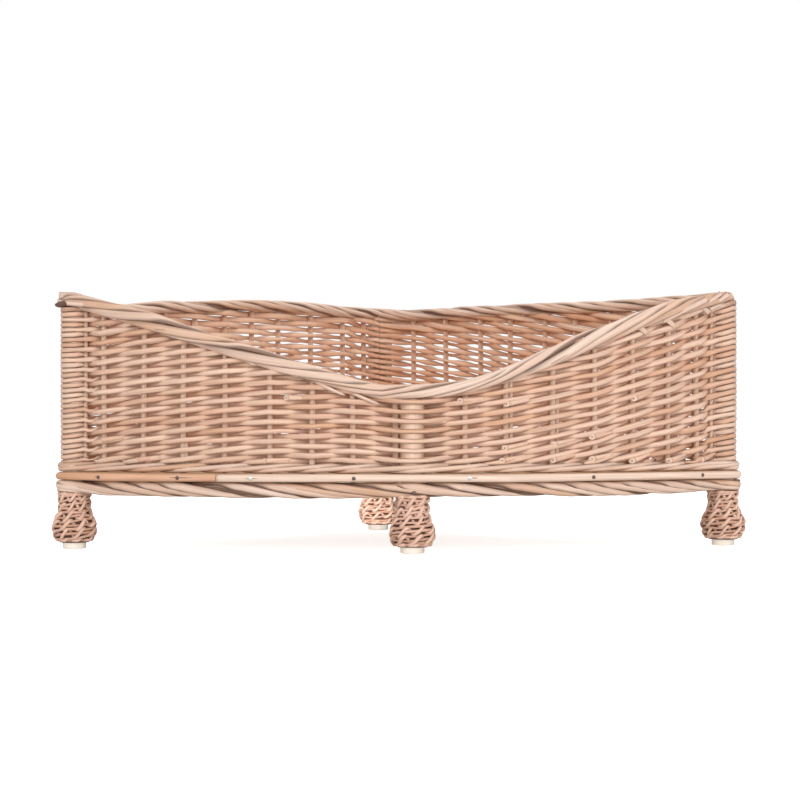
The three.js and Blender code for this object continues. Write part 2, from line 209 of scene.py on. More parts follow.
POST_AT = {side: middle(f"post_{side}") for side in ("left", "front", "right", "back")}
FRONT = Wall("front", POST_AT["left"], POST_AT["right"], stake_nodes("front"), POST_AT["front"])
BACK_RIGHT = Wall("back_right", POST_AT["right"], POST_AT["back"], stake_nodes("back_right"))
BACK_LEFT = Wall("back_left", POST_AT["back"], POST_AT["left"], stake_nodes("back_left"))
WALLS = (FRONT, BACK_RIGHT, BACK_LEFT)
FRONT_MIDDLE = FRONT.length / 2


def dip_height(s):
    """Top of the front rim: level by the front post, then a slope to each side post that blends a
    straight ramp with an S-curve."""
    from_front = s - FRONT_MIDDLE
    height = np.empty_like(s)
    for left, side, top in ((True, DIP_LEFT, RIM_AT["left"]), (False, DIP_RIGHT, RIM_AT["right"])):
        here = (from_front < 0) == left
        share = (np.abs(from_front[here]) - side["level"]) / (FRONT_MIDDLE - side["level"])
        ramp = np.clip(share, 0, 1)
        curve = smoothstep(ramp) * (1 - side["straight"]) + ramp * side["straight"]
        height[here] = RIM_AT["dip"] + (top - RIM_AT["dip"]) * curve
    return height


def back_height(wall, start, end, wander):
    """Top of a back rim: a straight line between its posts, plus its wander eased point to point."""
    def height(s):
        share = s / wall.length
        result = start + (end - start) * share
        for (low, before), (high, after) in zip(wander, wander[1:]):
            result = result + (after - before) * MM * smoothstep(share, low, high)
        return result
    return height


FRONT.height = dip_height
BACK_RIGHT.height = back_height(BACK_RIGHT, RIM_AT["right"], RIM_AT["back"], BACK_RIGHT_WANDER)
BACK_LEFT.height = back_height(BACK_LEFT, RIM_AT["back"], RIM_AT["left"], BACK_LEFT_WANDER)


def mitre_angle(before, after):
    """Half the angle that the outward direction turns through at the post between two walls."""
    arriving = before.frame_at(np.array([before.length]))[1][0]
    leaving = after.frame_at(np.array([0.0]))[1][0]
    return math.acos(np.clip(arriving @ leaving, -1, 1)) / 2


for before, after in zip(WALLS, WALLS[1:] + WALLS[:1]):
    after.start_mitre = before.end_mitre = mitre_angle(before, after)

ring_length = 0.0
for wall in WALLS:
    wall.first = -CORNER_ROUND * wall.start_mitre
    wall.last = wall.length + CORNER_ROUND * wall.end_mitre
    wall.ring_start = ring_length - wall.first
    ring_length += wall.last - wall.first


# Stations: the posts and stakes that a strand passes, in order along its wall
def stations(wall):
    posts = [0.0, FRONT_MIDDLE, wall.length] if wall is FRONT else [0.0, wall.length]
    free = [s for s in wall.stakes if min(abs(s - post) for post in posts) > CLOSE_STAKE]
    return sorted([(post, True) for post in posts] + [(s, False) for s in free])


first_station = 0
for wall in WALLS:
    wall.stations = stations(wall)
    wall.first_station = first_station
    first_station += len(wall.stations) - 1


# Rods
class Bundle:
    """Rods gathered into one mesh. Each point also keeps its place in its own rod, as the distance
    along it and two across, a tone from 0 to 1 for the rod's colour, and its flank shade, a painted
    shade between rods: 0 where the rod faces its guide direction and 1 at the two sides that meet its
    neighbours."""

    def __init__(self):
        self.points, self.quads, self.caps, self.fibre, self.tone, self.flank = [], [], [], [], [], []
        self.count = 0

    def rod(self, centres, guide, half_out, half_up, tone, sides=10, slant=0.0, shift=0.0,
            section=None, shade=0.0, crowd=1.0):
        """One rod. Each ring is an oval in the plane square to the route: half_out towards the guide
        direction and half_up square to it. slant cuts the start askew, by that share of half_out
        along the route; shift moves the rod's fibre pattern along; section gives other outlines than
        an oval, as points in a square from -1 to 1. shade is the least that the painted flank shade may
        be, for a rod that lies deep between others, and crowd deepens that painted shade where rods
        press together."""
        tangent = unit(np.gradient(centres, axis=0))
        side = unit(guide - np.sum(guide * tangent, axis=1, keepdims=True) * tangent)
        up = np.cross(side, tangent)
        n = len(centres)
        half_out = np.broadcast_to(half_out, n)[:, None]
        half_up = np.broadcast_to(half_up, n)[:, None]
        if section is None:
            angle = np.arange(sides) * 2 * math.pi / sides
            section = np.column_stack([np.cos(angle), np.sin(angle)])
        sides = len(section)
        x = half_out * section[:, 0]
        y = half_up * section[:, 1]
        rings = centres[:, None] + x[..., None] * side[:, None] + y[..., None] * up[:, None]
        if slant:
            rings[0] += (x[0] * slant)[:, None] * tangent[0]
        step = np.linalg.norm(np.diff(centres, axis=0), axis=1)
        along = np.concatenate([[0], np.cumsum(step)]) + shift
        fibre = np.stack([np.broadcast_to(along[:, None], x.shape), x, y], axis=-1)
        ring, k = np.meshgrid(np.arange(n - 1) * sides, np.arange(sides), indexing="ij")
        after = (k + 1) % sides
        quads = np.stack([ring + k, ring + sides + k, ring + sides + after, ring + after], axis=-1)
        fan = np.arange(1, sides - 1)
        last = (n - 1) * sides
        caps = np.concatenate([
            np.column_stack([np.zeros_like(fan), fan, fan + 1]),
            np.column_stack([np.full_like(fan, last), last + fan + 1, last + fan]),
        ])
        self.points.append(rings.reshape(-1, 3))
        self.fibre.append(fibre.reshape(-1, 3))
        self.tone.append(np.repeat(np.broadcast_to(tone, n), sides))
        crowd, shade = (np.broadcast_to(v, n)[:, None] for v in (crowd, shade))
        self.flank.append(np.maximum(crowd * section[:, 1] ** 2, shade).ravel())
        self.quads.append(quads.reshape(-1, 4) + self.count)
        self.caps.append(caps + self.count)
        self.count += n * sides

    def build(self, name, material, replaces=()):
        face_sets = (np.concatenate(self.quads), np.concatenate(self.caps))
        values = {"tone": np.concatenate(self.tone), "flank": np.concatenate(self.flank)}
        return make_piece(name, np.concatenate(self.points), face_sets, material, replaces,
                          np.concatenate(self.fibre), values)


def make_piece(name, points, face_sets, material, replaces, fibre, values):
    """An object from whole arrays: points, the smooth quads and the flat cut faces, and what its
    material reads: the fibre and the values at the points, and a cut value of 1 on the cut faces."""
    mesh = bpy.data.meshes.new(name)
    counts = [len(faces) for faces in face_sets]
    corners = np.concatenate([faces.ravel() for faces in face_sets]).astype(np.int32)
    sizes = np.repeat([faces.shape[1] for faces in face_sets], counts).astype(np.int32)
    is_cut = np.repeat([0.0, 1.0], counts).astype(np.float32)
    mesh.vertices.add(len(points))
    mesh.vertices.foreach_set("co", points.astype(np.float32).ravel())
    mesh.loops.add(len(corners))
    mesh.loops.foreach_set("vertex_index", corners)
    mesh.polygons.add(len(sizes))
    mesh.polygons.foreach_set("loop_start", (np.cumsum(sizes) - sizes).astype(np.int32))
    mesh.polygons.foreach_set("loop_total", sizes)
    mesh.polygons.foreach_set("use_smooth", is_cut < 0.5)
    mesh.update(calc_edges=True)
    if mesh.validate():
        raise ValueError(f"{name} has faulty faces")
    mesh.attributes.new("fibre", "FLOAT_VECTOR", "POINT").data.foreach_set(
        "vector", fibre.astype(np.float32).ravel())
    for label, value in values.items():
        mesh.attributes.new(label, "FLOAT", "POINT").data.foreach_set("value", value.astype(np.float32))
    mesh.attributes.new("cut", "FLOAT", "FACE").data.foreach_set("value", is_cut)
    mesh.materials.append(material)
    piece = bpy.data.objects.new(name, mesh)
    bpy.context.scene.collection.objects.link(piece)
    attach(piece, BODY)
    if replaces:
        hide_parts(*replaces)
    return piece


def fibre_shift(rng):
    return rng.uniform(0, FIBRE_SHIFTS)


def rod_tones(rng, place, period, step=1):
    """A tone for each rod of a strand. One rod takes over from another every period, at a place that
    is a whole number of steps, which is where the strand is out of sight."""
    offset = step * rng.integers(0, period // step)
    tones = rng.uniform(0, 1, MOST_RODS)
    return tones[((place + offset) // period).astype(int)]


# Routes of strands that pass in front of and behind the stations. A knot of a route holds its distance
# along the wall, its offset, the slopes of the two, and its station number
def post_stake_knots(wall, side_at, reach, post_reach):
    """Knots at the stakes beside the front wall's side posts. A strand that comes outside at the next
    station first turns about the post and passes inside the stake; the others pass it outside."""
    last = len(wall.stations) - 1
    turned = post_reach * math.sqrt(0.5)
    left = (0, 0.0, 1, LEFT_POST_STAKE)
    right = (last, wall.length, -1, RIGHT_POST_STAKE)
    knots = []
    for post, end, way, beside in (left, right):
        if side_at(post + way) > 0:
            knots.append([end + way * turned, turned, 0.7, -0.7 * way, post + 0.25 * way])
            knots.append([beside, -0.8 * reach, 0.9, -0.1 * way, post + 0.5 * way])
        else:
            knots.append([beside, 0.85 * reach, 0.95, -0.25 * way, post + 0.4 * way])
    return knots


def strand_route(wall, side_at, reach, post_reach, beside_posts=False):
    """Distance, offset and station number along a strand. At each station the strand lies square to
    the wall, outside it where side_at(k) is 1 and inside where it is -1, and a cubic joins the
    stations. It ends on the mitres of the corner posts: an outside strand turns about the post to
    get there, and an inside one cuts the corner. beside_posts adds the knots beside the side posts."""
    count = len(wall.stations)
    knots = []
    for k, (s, is_post) in enumerate(wall.stations):
        side = side_at(k)
        far = post_reach if is_post else reach
        knots.append([s, side * far, 1.0, 0.0, float(k)])
    for k, mitre, way in ((0, wall.start_mitre, 1), (count - 1, wall.end_mitre, -1)):
        if side_at(k) < 0:
            cos, sin = math.cos(mitre), math.sin(mitre) * way
            knots[k] = [knots[k][0] + sin * post_reach, -cos * post_reach, cos, sin, float(k)]
    if beside_posts:
        knots += post_stake_knots(wall, side_at, reach, post_reach)
    knots = np.array(sorted(knots))
    f = np.arange(BAY_STEPS) / BAY_STEPS
    a, b = knots[:-1, :, None], knots[1:, :, None]
    bay = b[:, 0] - a[:, 0]
    t = hermite(f, a[:, 0], b[:, 0], a[:, 2] * bay, b[:, 2] * bay)
    out = hermite(f, a[:, 1], b[:, 1], a[:, 3] * bay, b[:, 3] * bay)
    u = a[:, 4] + (b[:, 4] - a[:, 4]) * f
    t = np.append(t.ravel(), knots[-1, 0])
    out = np.append(out.ravel(), knots[-1, 1])
    u = np.append(u.ravel(), count - 1)
    if side_at(0) > 0:
        fan = np.linspace(wall.first, 0, FAN_STEPS, endpoint=False)
        t, out, u = (np.concatenate(pair) for pair in (
            (fan, t), (np.full(FAN_STEPS, out[0]), out), (np.zeros(FAN_STEPS), u)))
    if side_at(count - 1) > 0:
        fan = np.linspace(wall.length, wall.last, FAN_STEPS + 1)[1:]
        t, out, u = (np.concatenate(pair) for pair in (
            (t, fan), (out, np.full(FAN_STEPS, out[-1])), (u, np.full(FAN_STEPS, count - 1.0))))
    return t, out, u


# Siding
STRAND_UP = 0.565  # half a strand's height, as a share of a row's
STRAND_PRESSED = 0.55  # share of its depth that a strand keeps where it is pulled flat over a post
PRESSED_TO = (5 * MM, 20 * MM)  # distances from a post between which a strand gets its depth back
CROWDED_TO = (10 * MM, 24 * MM)  # distances from a post between which the strands stop crowding
CROWDED_LOSS = 0.14  # share of its height that a crowded strand loses
FRONT_TUCK = 2.5 * MM  # height by which the top strands reach up behind the front rim
BACK_TUCK = 5 * MM
LEFT_END_DROP = 3 * MM  # by how much less they do so at the left post
LEFT_END_TO = (4 * MM, 20 * MM)  # distances from that post between which the drop ends
SINKING = (-0.95, -0.45)  # levels in rows over which a strand that sinks behind the wale grows thin
SUNK_SIZE = 0.45  # share of its size that it keeps at the lowest level
STRAND_WOBBLE = 0.3 * MM  # each of two waves up and down
WOBBLE_WAVES = (31 * MM, 19 * MM)
STRAND_SWELL = 0.06  # share by which strands differ in size, and by which each swells along its length
SWELL_WAVE = 70 * MM
STRAND_RODS = 8  # stations that one rod of a strand passes
STRAND_PLACE = 65  # keeps the places of all strands above zero
STRAND_SEED = 500
SHORTEST_RUN = 4  # rings of the shortest stretch of a strand that is drawn
UNDER_RIM_SHADE = 1.15

# Rows climbed by a strand at each station, and the height of a row at places along the wall, in mm
FRONT_CLIMB = (-0.7, 0.6, 1.9, 3.0, 4.05, 4.8, 4.85, 4.9, 3.9, 4.85, 5.7, 7.7, 9.7, 11.75, 13.35, 14.65,
               15.85)
FRONT_ROWS = ((0, 5.0), (36, 4.8), (170, 4.7), (400, 4.65), (440, 4.85), (530, 4.65), (620, 5.1),
              (694.8, 5.6))
BACK_RIGHT_ROWS = ((0, 5.6), (12, 5.45), (30, 5.45), (85, 6.2), (400, 6.2), (460, 6.0))
BACK_LEFT_ROWS = ((0, 6.0), (60, 6.3), (400, 6.1), (460, 5.0))
BACK_RIGHT_CLIMB = 12.25  # rows climbed over the whole wall
BACK_LEFT_CLIMB = 2.2
# The back walls' gaps: a strand's height in its row, as a share of the front's, the least and most of it
# that a strand loses at a stake, the distances below the rim between which that starts, the distances
# from the back post between which it ends, and the share of it that ends there
BACK_STRAND_UP = 0.94
BACK_PINCH = (0.26, 0.5)
PINCHED_BELOW = (16 * MM, 45 * MM)
PINCHED_TO = (175 * MM, 260 * MM)
PINCH_ENDS = 0.8


def row_height(wall, s):
    tables = {"front": FRONT_ROWS, "back_right": BACK_RIGHT_ROWS, "back_left": BACK_LEFT_ROWS}
    places, heights = np.array(tables[wall.name]).T * MM
    return np.interp(s, places, heights)


def climb(wall, u):
    """Rows that the strands have climbed at station number u. The three walls' strands meet at the
    corner posts, so each wall starts at the level where the one before it ends."""
    if wall is FRONT:
        return spline(u, range(len(FRONT_CLIMB)), FRONT_CLIMB)
    right_start = FRONT_CLIMB[-1] - (len(FRONT.stations) - 1)
    if wall is BACK_RIGHT:
        return right_start + BACK_RIGHT_CLIMB * u / (len(wall.stations) - 1)
    left_start = right_start + BACK_RIGHT_CLIMB - (len(BACK_RIGHT.stations) - 1)
    return left_start + BACK_LEFT_CLIMB * u / (len(wall.stations) - 1)


def siding_side(wall, parity):
    """Side of each station that the strands of one parity pass: every second one in front, all of them
    outside the two side posts and inside the back post."""
    last = len(wall.stations) - 1
    corners = {"front": {0: 1, last: 1}, "back_right": {0: 1, last: -1}, "back_left": {0: -1, last: 1}}

    def side_at(k):
        return corners[wall.name].get(k, 1 if (k - parity) % 2 == 0 else -1)
    return side_at


# Slits that the front siding leaves above the wale: middle and half length in mm along the wall
SLITS = ((25, 7), (600, 4.5), (646.5, 5), (665, 5.5))
SLIT_CLOSES = (0.6, 1.3)  # shares of its half length between which a slit closes
SLIT_SPLITS = (0.8 * MM, 2.0 * MM)  # heights over the wale between which a strand starts to go up
SLIT_FLOOR = 2.4 * MM  # height over the wale of the strand above a slit


def open_slits(s, z, half_up):
    """Centre heights and half heights of a strand that gives way at the slits: above the wale's edge
    its underside moves up, and below it its top sinks behind the wale."""
    middles, lengths = np.array(SLITS).T * MM
    opening = np.max(1 - smoothstep(np.abs(s[:, None] - middles) / lengths, *SLIT_CLOSES), axis=1)
    above = smoothstep(z - WALE_TOP, *SLIT_SPLITS)
    low, high = z - half_up, z + half_up
    low = low + opening * above * np.maximum(WALE_TOP + SLIT_FLOOR - low, 0)
    high = high - opening * (1 - above) * np.maximum(high - WALE_TOP, 0)
    return (low + high) / 2, (high - low) / 2


# Gaps beside the side posts, where every second strand lies against its neighbour. Each has its wall,
# the parity that moves, middle and half length along the wall and greatest height in mm, and the
# rows that the strands move by
POST_GAPS = (
    (FRONT, 0, 22, 5, 182, -0.45), (FRONT, 0, 665, 5, 157, -0.45),
    (BACK_LEFT, 0, 441, 9, 192, -0.45), (BACK_RIGHT, 1, 19, 9, 167, 0.45),
)
GAP_CLOSES = (0.4, 1.3)  # shares of its half length between which a gap closes
GAP_FADES = 10  # height in mm in which the gaps end under the greatest
GAP_THINS = 0.3  # share of its height that a strand loses there


def open_post_gaps(wall, parity, s, row, z, half_up):
    """Centre heights and half heights of a strand that moves to its neighbour beside a side post."""
    for gap_wall, moved, centre, half, top, rows in POST_GAPS:
        if gap_wall is wall and moved == parity:
            closes = np.array(GAP_CLOSES) * half * MM
            near = 1 - smoothstep(np.abs(s - centre * MM), *closes)
            near = near * (1 - smoothstep(z, (top - GAP_FADES) * MM, top * MM))
            z = z + rows * row * near
            half_up = half_up * (1 - GAP_THINS * near)
    return z, half_up


def lay_strands(bundle, wall, parity, half_out):
    """Every second strand of a wall. Strand j lies at level climb(u) - j, counted in rows from the wale,
    and is drawn only between the wale and the rim."""
    back = wall is not FRONT
    posts = np.array([place for place, is_post in wall.stations if is_post])
    t, out, u = strand_route(wall, siding_side(wall, parity), STAKE_RADIUS + half_out,
                             POST_RADIUS + STRAND_PRESSED * half_out, not back)
    s = np.clip(t, 0, wall.length)
    ring = wall.ring_start + t
    to_post = np.min(np.abs(s[:, None] - posts), axis=1)
    to_stake = np.abs((u + 0.5) % 1 - 0.5) * 2
    from_back_post = s if wall is BACK_LEFT else wall.length - s
    pressed = STRAND_PRESSED + (1 - STRAND_PRESSED) * smoothstep(to_post, *PRESSED_TO)
    crowded = 1 - smoothstep(to_post, *CROWDED_TO)
    first_level = climb(wall, u)
    row = row_height(wall, s)
    ceiling = wall.height(s) - RIM_THICKNESS + (BACK_TUCK if back else FRONT_TUCK)
    if not back:
        ceiling = ceiling - LEFT_END_DROP * (1 - smoothstep(s, *LEFT_END_TO))
    rows_up = int(np.max((ceiling - SIDING_BOTTOM) / row)) + 2
    lowest_strand = int(np.floor(first_level.min())) - rows_up
    highest_strand = int(np.ceil(first_level.max())) + 1
    for j in range(lowest_strand, highest_strand + 1):
        if (j - parity) % 2:
            continue
        level = first_level - j
        rng = np.random.default_rng(STRAND_SEED + j + wall.first_station)
        phase = rng.uniform(0, 2 * math.pi, 3)
        waves = (np.sin(ring / wave + turn) for wave, turn in zip(WOBBLE_WAVES, phase))
        wobble = STRAND_WOBBLE * sum(waves)
        z = SIDING_BOTTOM + row * (level + 0.5) + wobble * smoothstep(to_stake, 0, 0.5)
        swell = STRAND_SWELL * np.sin(ring / SWELL_WAVE + phase[2])
        thick = 1 + swell + rng.uniform(-STRAND_SWELL, STRAND_SWELL)
        tones = rod_tones(rng, u - j + STRAND_PLACE, STRAND_RODS, 2)
        shift = fibre_shift(rng)
        sunk = SUNK_SIZE + (1 - SUNK_SIZE) * smoothstep(level, *SINKING)
        half_up = STRAND_UP * row * thick * sunk * (1 - CROWDED_LOSS * crowded)
        if back:
            loss = rng.uniform(*BACK_PINCH, len(wall.stations))[np.round(u).astype(int)]
            loss = loss * smoothstep(wall.height(s) - z, *PINCHED_BELOW) * (1 - crowded)
            loss = loss * (1 - PINCH_ENDS * smoothstep(from_back_post, *PINCHED_TO))
            half_up = half_up * BACK_STRAND_UP * (1 - loss * (1 - smoothstep(to_stake, 0.4, 0.85)))
        else:
            z, half_up = open_slits(s, z, half_up)
        z, half_up = open_post_gaps(wall, parity, s, row, z, half_up)
        # Painted shade: strands just under the rim are painted darker, and so are those crowded beside a
        # post
        shade = UNDER_RIM_SHADE * (1 - smoothstep(ceiling - z, 0.5 * MM, 6.5 * MM))
        for start, end in runs((level > SINKING[0]) & (z < ceiling)):
            if end - start < SHORTEST_RUN:
                continue
            part = slice(start, end)
            centres, guide = wall.place(t[part], out[part], z[part])
            bundle.rod(centres, guide, (half_out * thick * pressed * sunk)[part], half_up[part],
                       tones[part], shift=shift, shade=shade[part], crowd=(1 + 0.8 * crowded)[part])


def weave_siding(wall, material, half_out):
    """Strands of one wall, each half_out thick to either side. Their rods and waves go on round the
    corner posts."""
    bundle = Bundle()
    for parity in (0, 1):
        lay_strands(bundle, wall, parity, half_out)
    return bundle.build(f"woven_siding_{wall.name}", material, [f"siding_{wall.name}"])


# Wale
WALE_RODS = 3
WALE_ROD_HEIGHT = 1.17  # of a rod, over its depth
WALE_CLEAR = 0.1 * MM  # room between the board and the lowest rods
WALE_PROUD = 0.6 * MM  # height by which the highest rods stand above the wale's top
WALE_SWAY = 0.7 * MM  # greatest swing outward and inward
# Height and depth of a wale rod over one cycle of three stations, as shares of its greatest swing: it
# comes out low before its first stake, climbs over two and drops behind the third
WALE_CYCLE = ((-0.5, -1.0, -1.0), (0, -0.85, 0.2), (0.5, -0.4, 1.0), (1, 0.3, 0.9), (1.5, 0.9, -0.2),
              (2, 0.6, -0.5), (2.5, -1.0, -1.0))


def weave_wale(wall, material, half_out):
    """Three rods, each in front of two stations and behind the third, a little taller than deep."""
    rng = np.random.default_rng(10)
    bundle = Bundle()
    last = len(wall.stations) - 1
    half_up = WALE_ROD_HEIGHT * half_out
    bottom = BOARD_TOP + half_up + WALE_CLEAR
    top = WALE_TOP - half_up + WALE_PROUD
    places, heights, depths = zip(*WALE_CYCLE)
    for m in range(WALE_RODS):
        def side_at(k, m=m):
            behind = (k + wall.first_station - m) % WALE_RODS == 2
            return -1 if behind and k not in (0, last) else 1
        t, out, u = strand_route(wall, side_at, STAKE_RADIUS + half_out, POST_RADIUS + half_out)
        cycle = (u + wall.first_station - m + 0.5) % WALE_RODS - 0.5
        share = np.interp(cycle, places, heights) / 2 + 0.5
        share = np.convolve(np.pad(share, 3, mode="edge"), np.ones(7) / 7, mode="valid")
        z = bottom + (top - bottom) * share
        out = out + WALE_SWAY * np.interp(cycle, places, depths)
        centres, guide = wall.place(t, out, z)
        thick = 1 + 0.05 * np.sin((wall.ring_start + t) / (50 * MM) + rng.uniform(0, 6))
        tones = rod_tones(rng, u + wall.first_station - m + 4, 6, 3)
        bundle.rod(centres, guide, half_out * thick, half_up * thick, tones, shift=fibre_shift(rng),
                   crowd=1.35)
    return bundle.build(f"woven_wale_{wall.name}", material, [f"wale_{wall.name}"])


# Borders: rods laid round and round an oval, lapped like tiles
BORDER_DRIFT = 0.35  # by how much a rod strays from its place among the others, as a share of its room


def loop_path(f, path):
    """Closed curve through the points of path, given as (phase, offset in mm, height in mm)."""
    points = np.array(path, float)
    before, after = points[-2:] - [1, 0, 0], points[:2] + [1, 0, 0]
    phase, out, up = np.concatenate([before, points, after]).T
    return spline(f % 1, phase, out) * MM, spline(f % 1, phase, up) * MM


def wind_border(bundle, wall, t, turn, rods, path, centre_z, half, rng, lean, crowd, push_to=None,
                sides=12, taper=((0, 1), (1, 1)), lift=(0.0, 0.0), section=None):
    """Rods laid round a border. Rod k goes round the closed path once in each length turn, near the
    phase ring / turn + k / rods. half gives its half thickness and half width, times the taper at its
    phase; it lies flat on the border, then leans so that its lower edge comes forward. push_to gives
    the distance that it keeps from each post's axis, and lift raises the border's top and underside."""
    phases, sizes = zip(*taper)
    ring = wall.ring_start + t
    loop = np.array(path)[:, 1:]
    way = np.sign(np.cross(loop, np.roll(loop, -1, axis=0)).sum())
    lowest, highest = loop[:, 1].min() * MM, loop[:, 1].max() * MM
    for k in range(rods):
        drift = BORDER_DRIFT / rods * np.sin(ring / (83 * MM) + rng.uniform(0, 6))
        phase = ring / turn + k / rods + drift
        out, up = loop_path(phase, path)
        after_out, after_up = loop_path(phase + 0.01, path)
        before_out, before_up = loop_path(phase - 0.01, path)
        across, rise = after_out - before_out, after_up - before_up
        size = np.hypot(across, rise) + 1e-9
        normal_out, normal_up = way * rise / size, lean - way * across / size
        share = (up - lowest) / (highest - lowest)
        lifted = up + lift[0] * share + lift[1] * (1 - share)
        centres, guide = wall.place(t, out, centre_z + lifted)
        if push_to:
            centres = push_from_posts(centres, push_to)
        normal = guide * normal_out[:, None]
        normal[:, 2] = normal_up
        thick = 1 + 0.08 * np.sin(ring / (61 * MM) + rng.uniform(0, 6))
        thick = thick * np.interp(phase % 1, phases, sizes)
        tones = rod_tones(rng, phase + 1, 1)
        bundle.rod(centres, unit(normal), half[0] * thick, half[1] * thick, tones, sides=sides,
                   shift=fibre_shift(rng), section=section, crowd=crowd)


def push_from_posts(centres, reach):
    """Points nearer a post's axis than its reach are moved out to about that reach."""
    result = centres.copy()
    for side, post in POST_AT.items():
        ray = result[:, :2] - post
        distance = np.maximum(np.hypot(*ray.T), 0.1 * MM)
        pushed = (distance**8 + reach[side] ** 8) ** 0.125
        result[:, :2] = post + ray * (pushed / distance)[:, None]
    return result


def wall_steps(wall, step):
    return np.linspace(wall.first, wall.last, int((wall.last - wall.first) / step) + 1)


# Once round the foot border: phase, offset and height in mm from its middle
BORDER_PATH = ((0.0, 5.2, 2.9), (0.09, 9.0, 2.6), (0.2, 9.8, 1.2), (0.32, 9.2, -1.0), (0.44, 8.2, -3.2),
               (0.54, 7.0, -4.4), (0.64, 3.5, -4.2), (0.78, -4.6, -1.0), (0.9, -2.0, 2.6))
BORDER_TAPER = ((0, 0.6), (0.1, 0.84), (0.2, 1.0), (0.32, 0.95), (0.44, 0.68), (0.54, 0.38), (0.64, 0.35),
                (0.78, 0.7), (1, 0.6))
BORDER_RODS = 5
BORDER_ROD_WIDTH = 1.09  # of a rod, over its thickness
HANG_WIDENS = 0.25  # share of the hang that a rod's half width grows by
BORDER_SPACING = 38 * MM
# Distance that the border keeps from each post's axis
BORDER_REACH = {"left": 15 * MM, "front": 12.4 * MM, "right": 15.4 * MM, "back": 12.4 * MM}
# Drop of the front border's hand-made underside: distance along the wall and drop, in mm
BORDER_HANG = ((0, 0.5), (40, 2.8), (150, 3.3), (250, 4.2), (347, 2.6), (450, 2.2), (530, 3.4), (620, 2.4),
               (660, 0.4), (694.8, 0))
# Plain rod that fills the border between two posts, painted dark as the shade behind the border rods:
# its distance from each post's axis, its offset and rise, the share of the hang that it drops by, and
# its half thickness and half width
BORDER_CORE = {"inset": 12.2 * MM, "out": 3.6 * MM, "rise": 1.3 * MM, "drop": 0.74,
               "half": (3.6 * MM, 4.3 * MM)}


def weave_foot_border(wall, material, half_out):
    """Rods that slope down to the right outside and come up again inside, over a core painted dark as
    shade.
    """
    rng = np.random.default_rng(20)
    bundle = Bundle()
    t = wall_steps(wall, 3.2 * MM)
    rounds = round(ring_length / BORDER_SPACING / BORDER_RODS)
    middle_z = (BORDER_TOP + BORDER_BOTTOM) / 2
    s = np.clip(t, 0, wall.length)
    hang = np.interp(s / MM, *zip(*BORDER_HANG)) * MM if wall is FRONT else 1 * MM
    half = (half_out, BORDER_ROD_WIDTH * half_out + HANG_WIDENS * hang)
    wind_border(bundle, wall, t, ring_length / rounds, BORDER_RODS, BORDER_PATH, middle_z, half, rng,
                lean=0.2, crowd=1.5, push_to=BORDER_REACH, taper=BORDER_TAPER, lift=(0.3 * MM, -hang))
    posts = np.array([place for place, is_post in wall.stations if is_post])
    for start, end in zip(posts, posts[1:]):
        inner = np.linspace(start + BORDER_CORE["inset"], end - BORDER_CORE["inset"], 80)
        drop = BORDER_CORE["drop"] * np.interp(inner, t, np.broadcast_to(hang, len(t)))
        centres, guide = wall.place(inner, BORDER_CORE["out"], middle_z + BORDER_CORE["rise"] - drop)
        thick, wide = BORDER_CORE["half"]
        bundle.rod(centres, guide, thick, wide + drop, 0.9, sides=12, shade=1.0)
    return bundle.build(f"woven_foot_border_{wall.name}", material,
                        [f"foot_border_{wall.name}"])


# Rims. Once round each: phase, offset and height in mm from its middle
FRONT_RIM_PATH = ((0.0, 0.5, -4.6), (0.12, 5.2, -4.4), (0.3, 8.2, -2.0), (0.46, 8.5, 1.7),
                  (0.58, 7.0, 4.3), (0.7, 1.5, 5.0), (0.84, -7.2, 2.4), (0.92, -7.0, -2.2))
BACK_RIM_PATH = ((0.0, -0.5, -3.1), (0.14, -5.6, -3.0), (0.32, -7.4, -0.6), (0.48, -6.6, 2.4),
                 (0.62, -1.0, 3.1), (0.78, 6.6, 1.6), (0.9, 6.4, -1.8))
RIM_RODS = 5
FLAT_ROD_WIDTH = 1.87  # of a flat rod of the front rim, over its thickness
FRONT_RIM_TURN = 215 * MM  # length in which a rod goes once round
BACK_RIM_TURN = 172 * MM
# Plain rod that fills the rim's middle, painted dark as the shade between the rim's rods
RIM_CORE = {"rise": 0.6 * MM, "half_out": 7.2 * MM, "half_up": 4.8 * MM}
# Lift of the front rim's hand-made top from its line: distance along the wall and rise, in mm
FRONT_RIM_LIFT = ((0, 0.6), (40, 0.4), (70, 1.9), (97, 3.2), (125, 1.5), (183, 2.4), (223, 1.7), (247, 1.8),
                  (290, -0.6), (343, 0.2), (420, -0.8), (453, 1.2), (478, 3.4), (532, 4.6), (560, 2.2),
                  (598, 2.2), (623, 1.0), (650, -0.8), (694.8, -0.6))
# Section of a flat rod: an oval with fuller corners
ring_angle = np.arange(16) * math.pi / 8
FLAT_ROD = np.column_stack([
    np.sign(np.cos(ring_angle)) * np.abs(np.cos(ring_angle)) ** 0.7,
    np.sign(np.sin(ring_angle)) * np.abs(np.sin(ring_angle)) ** 0.8,
])


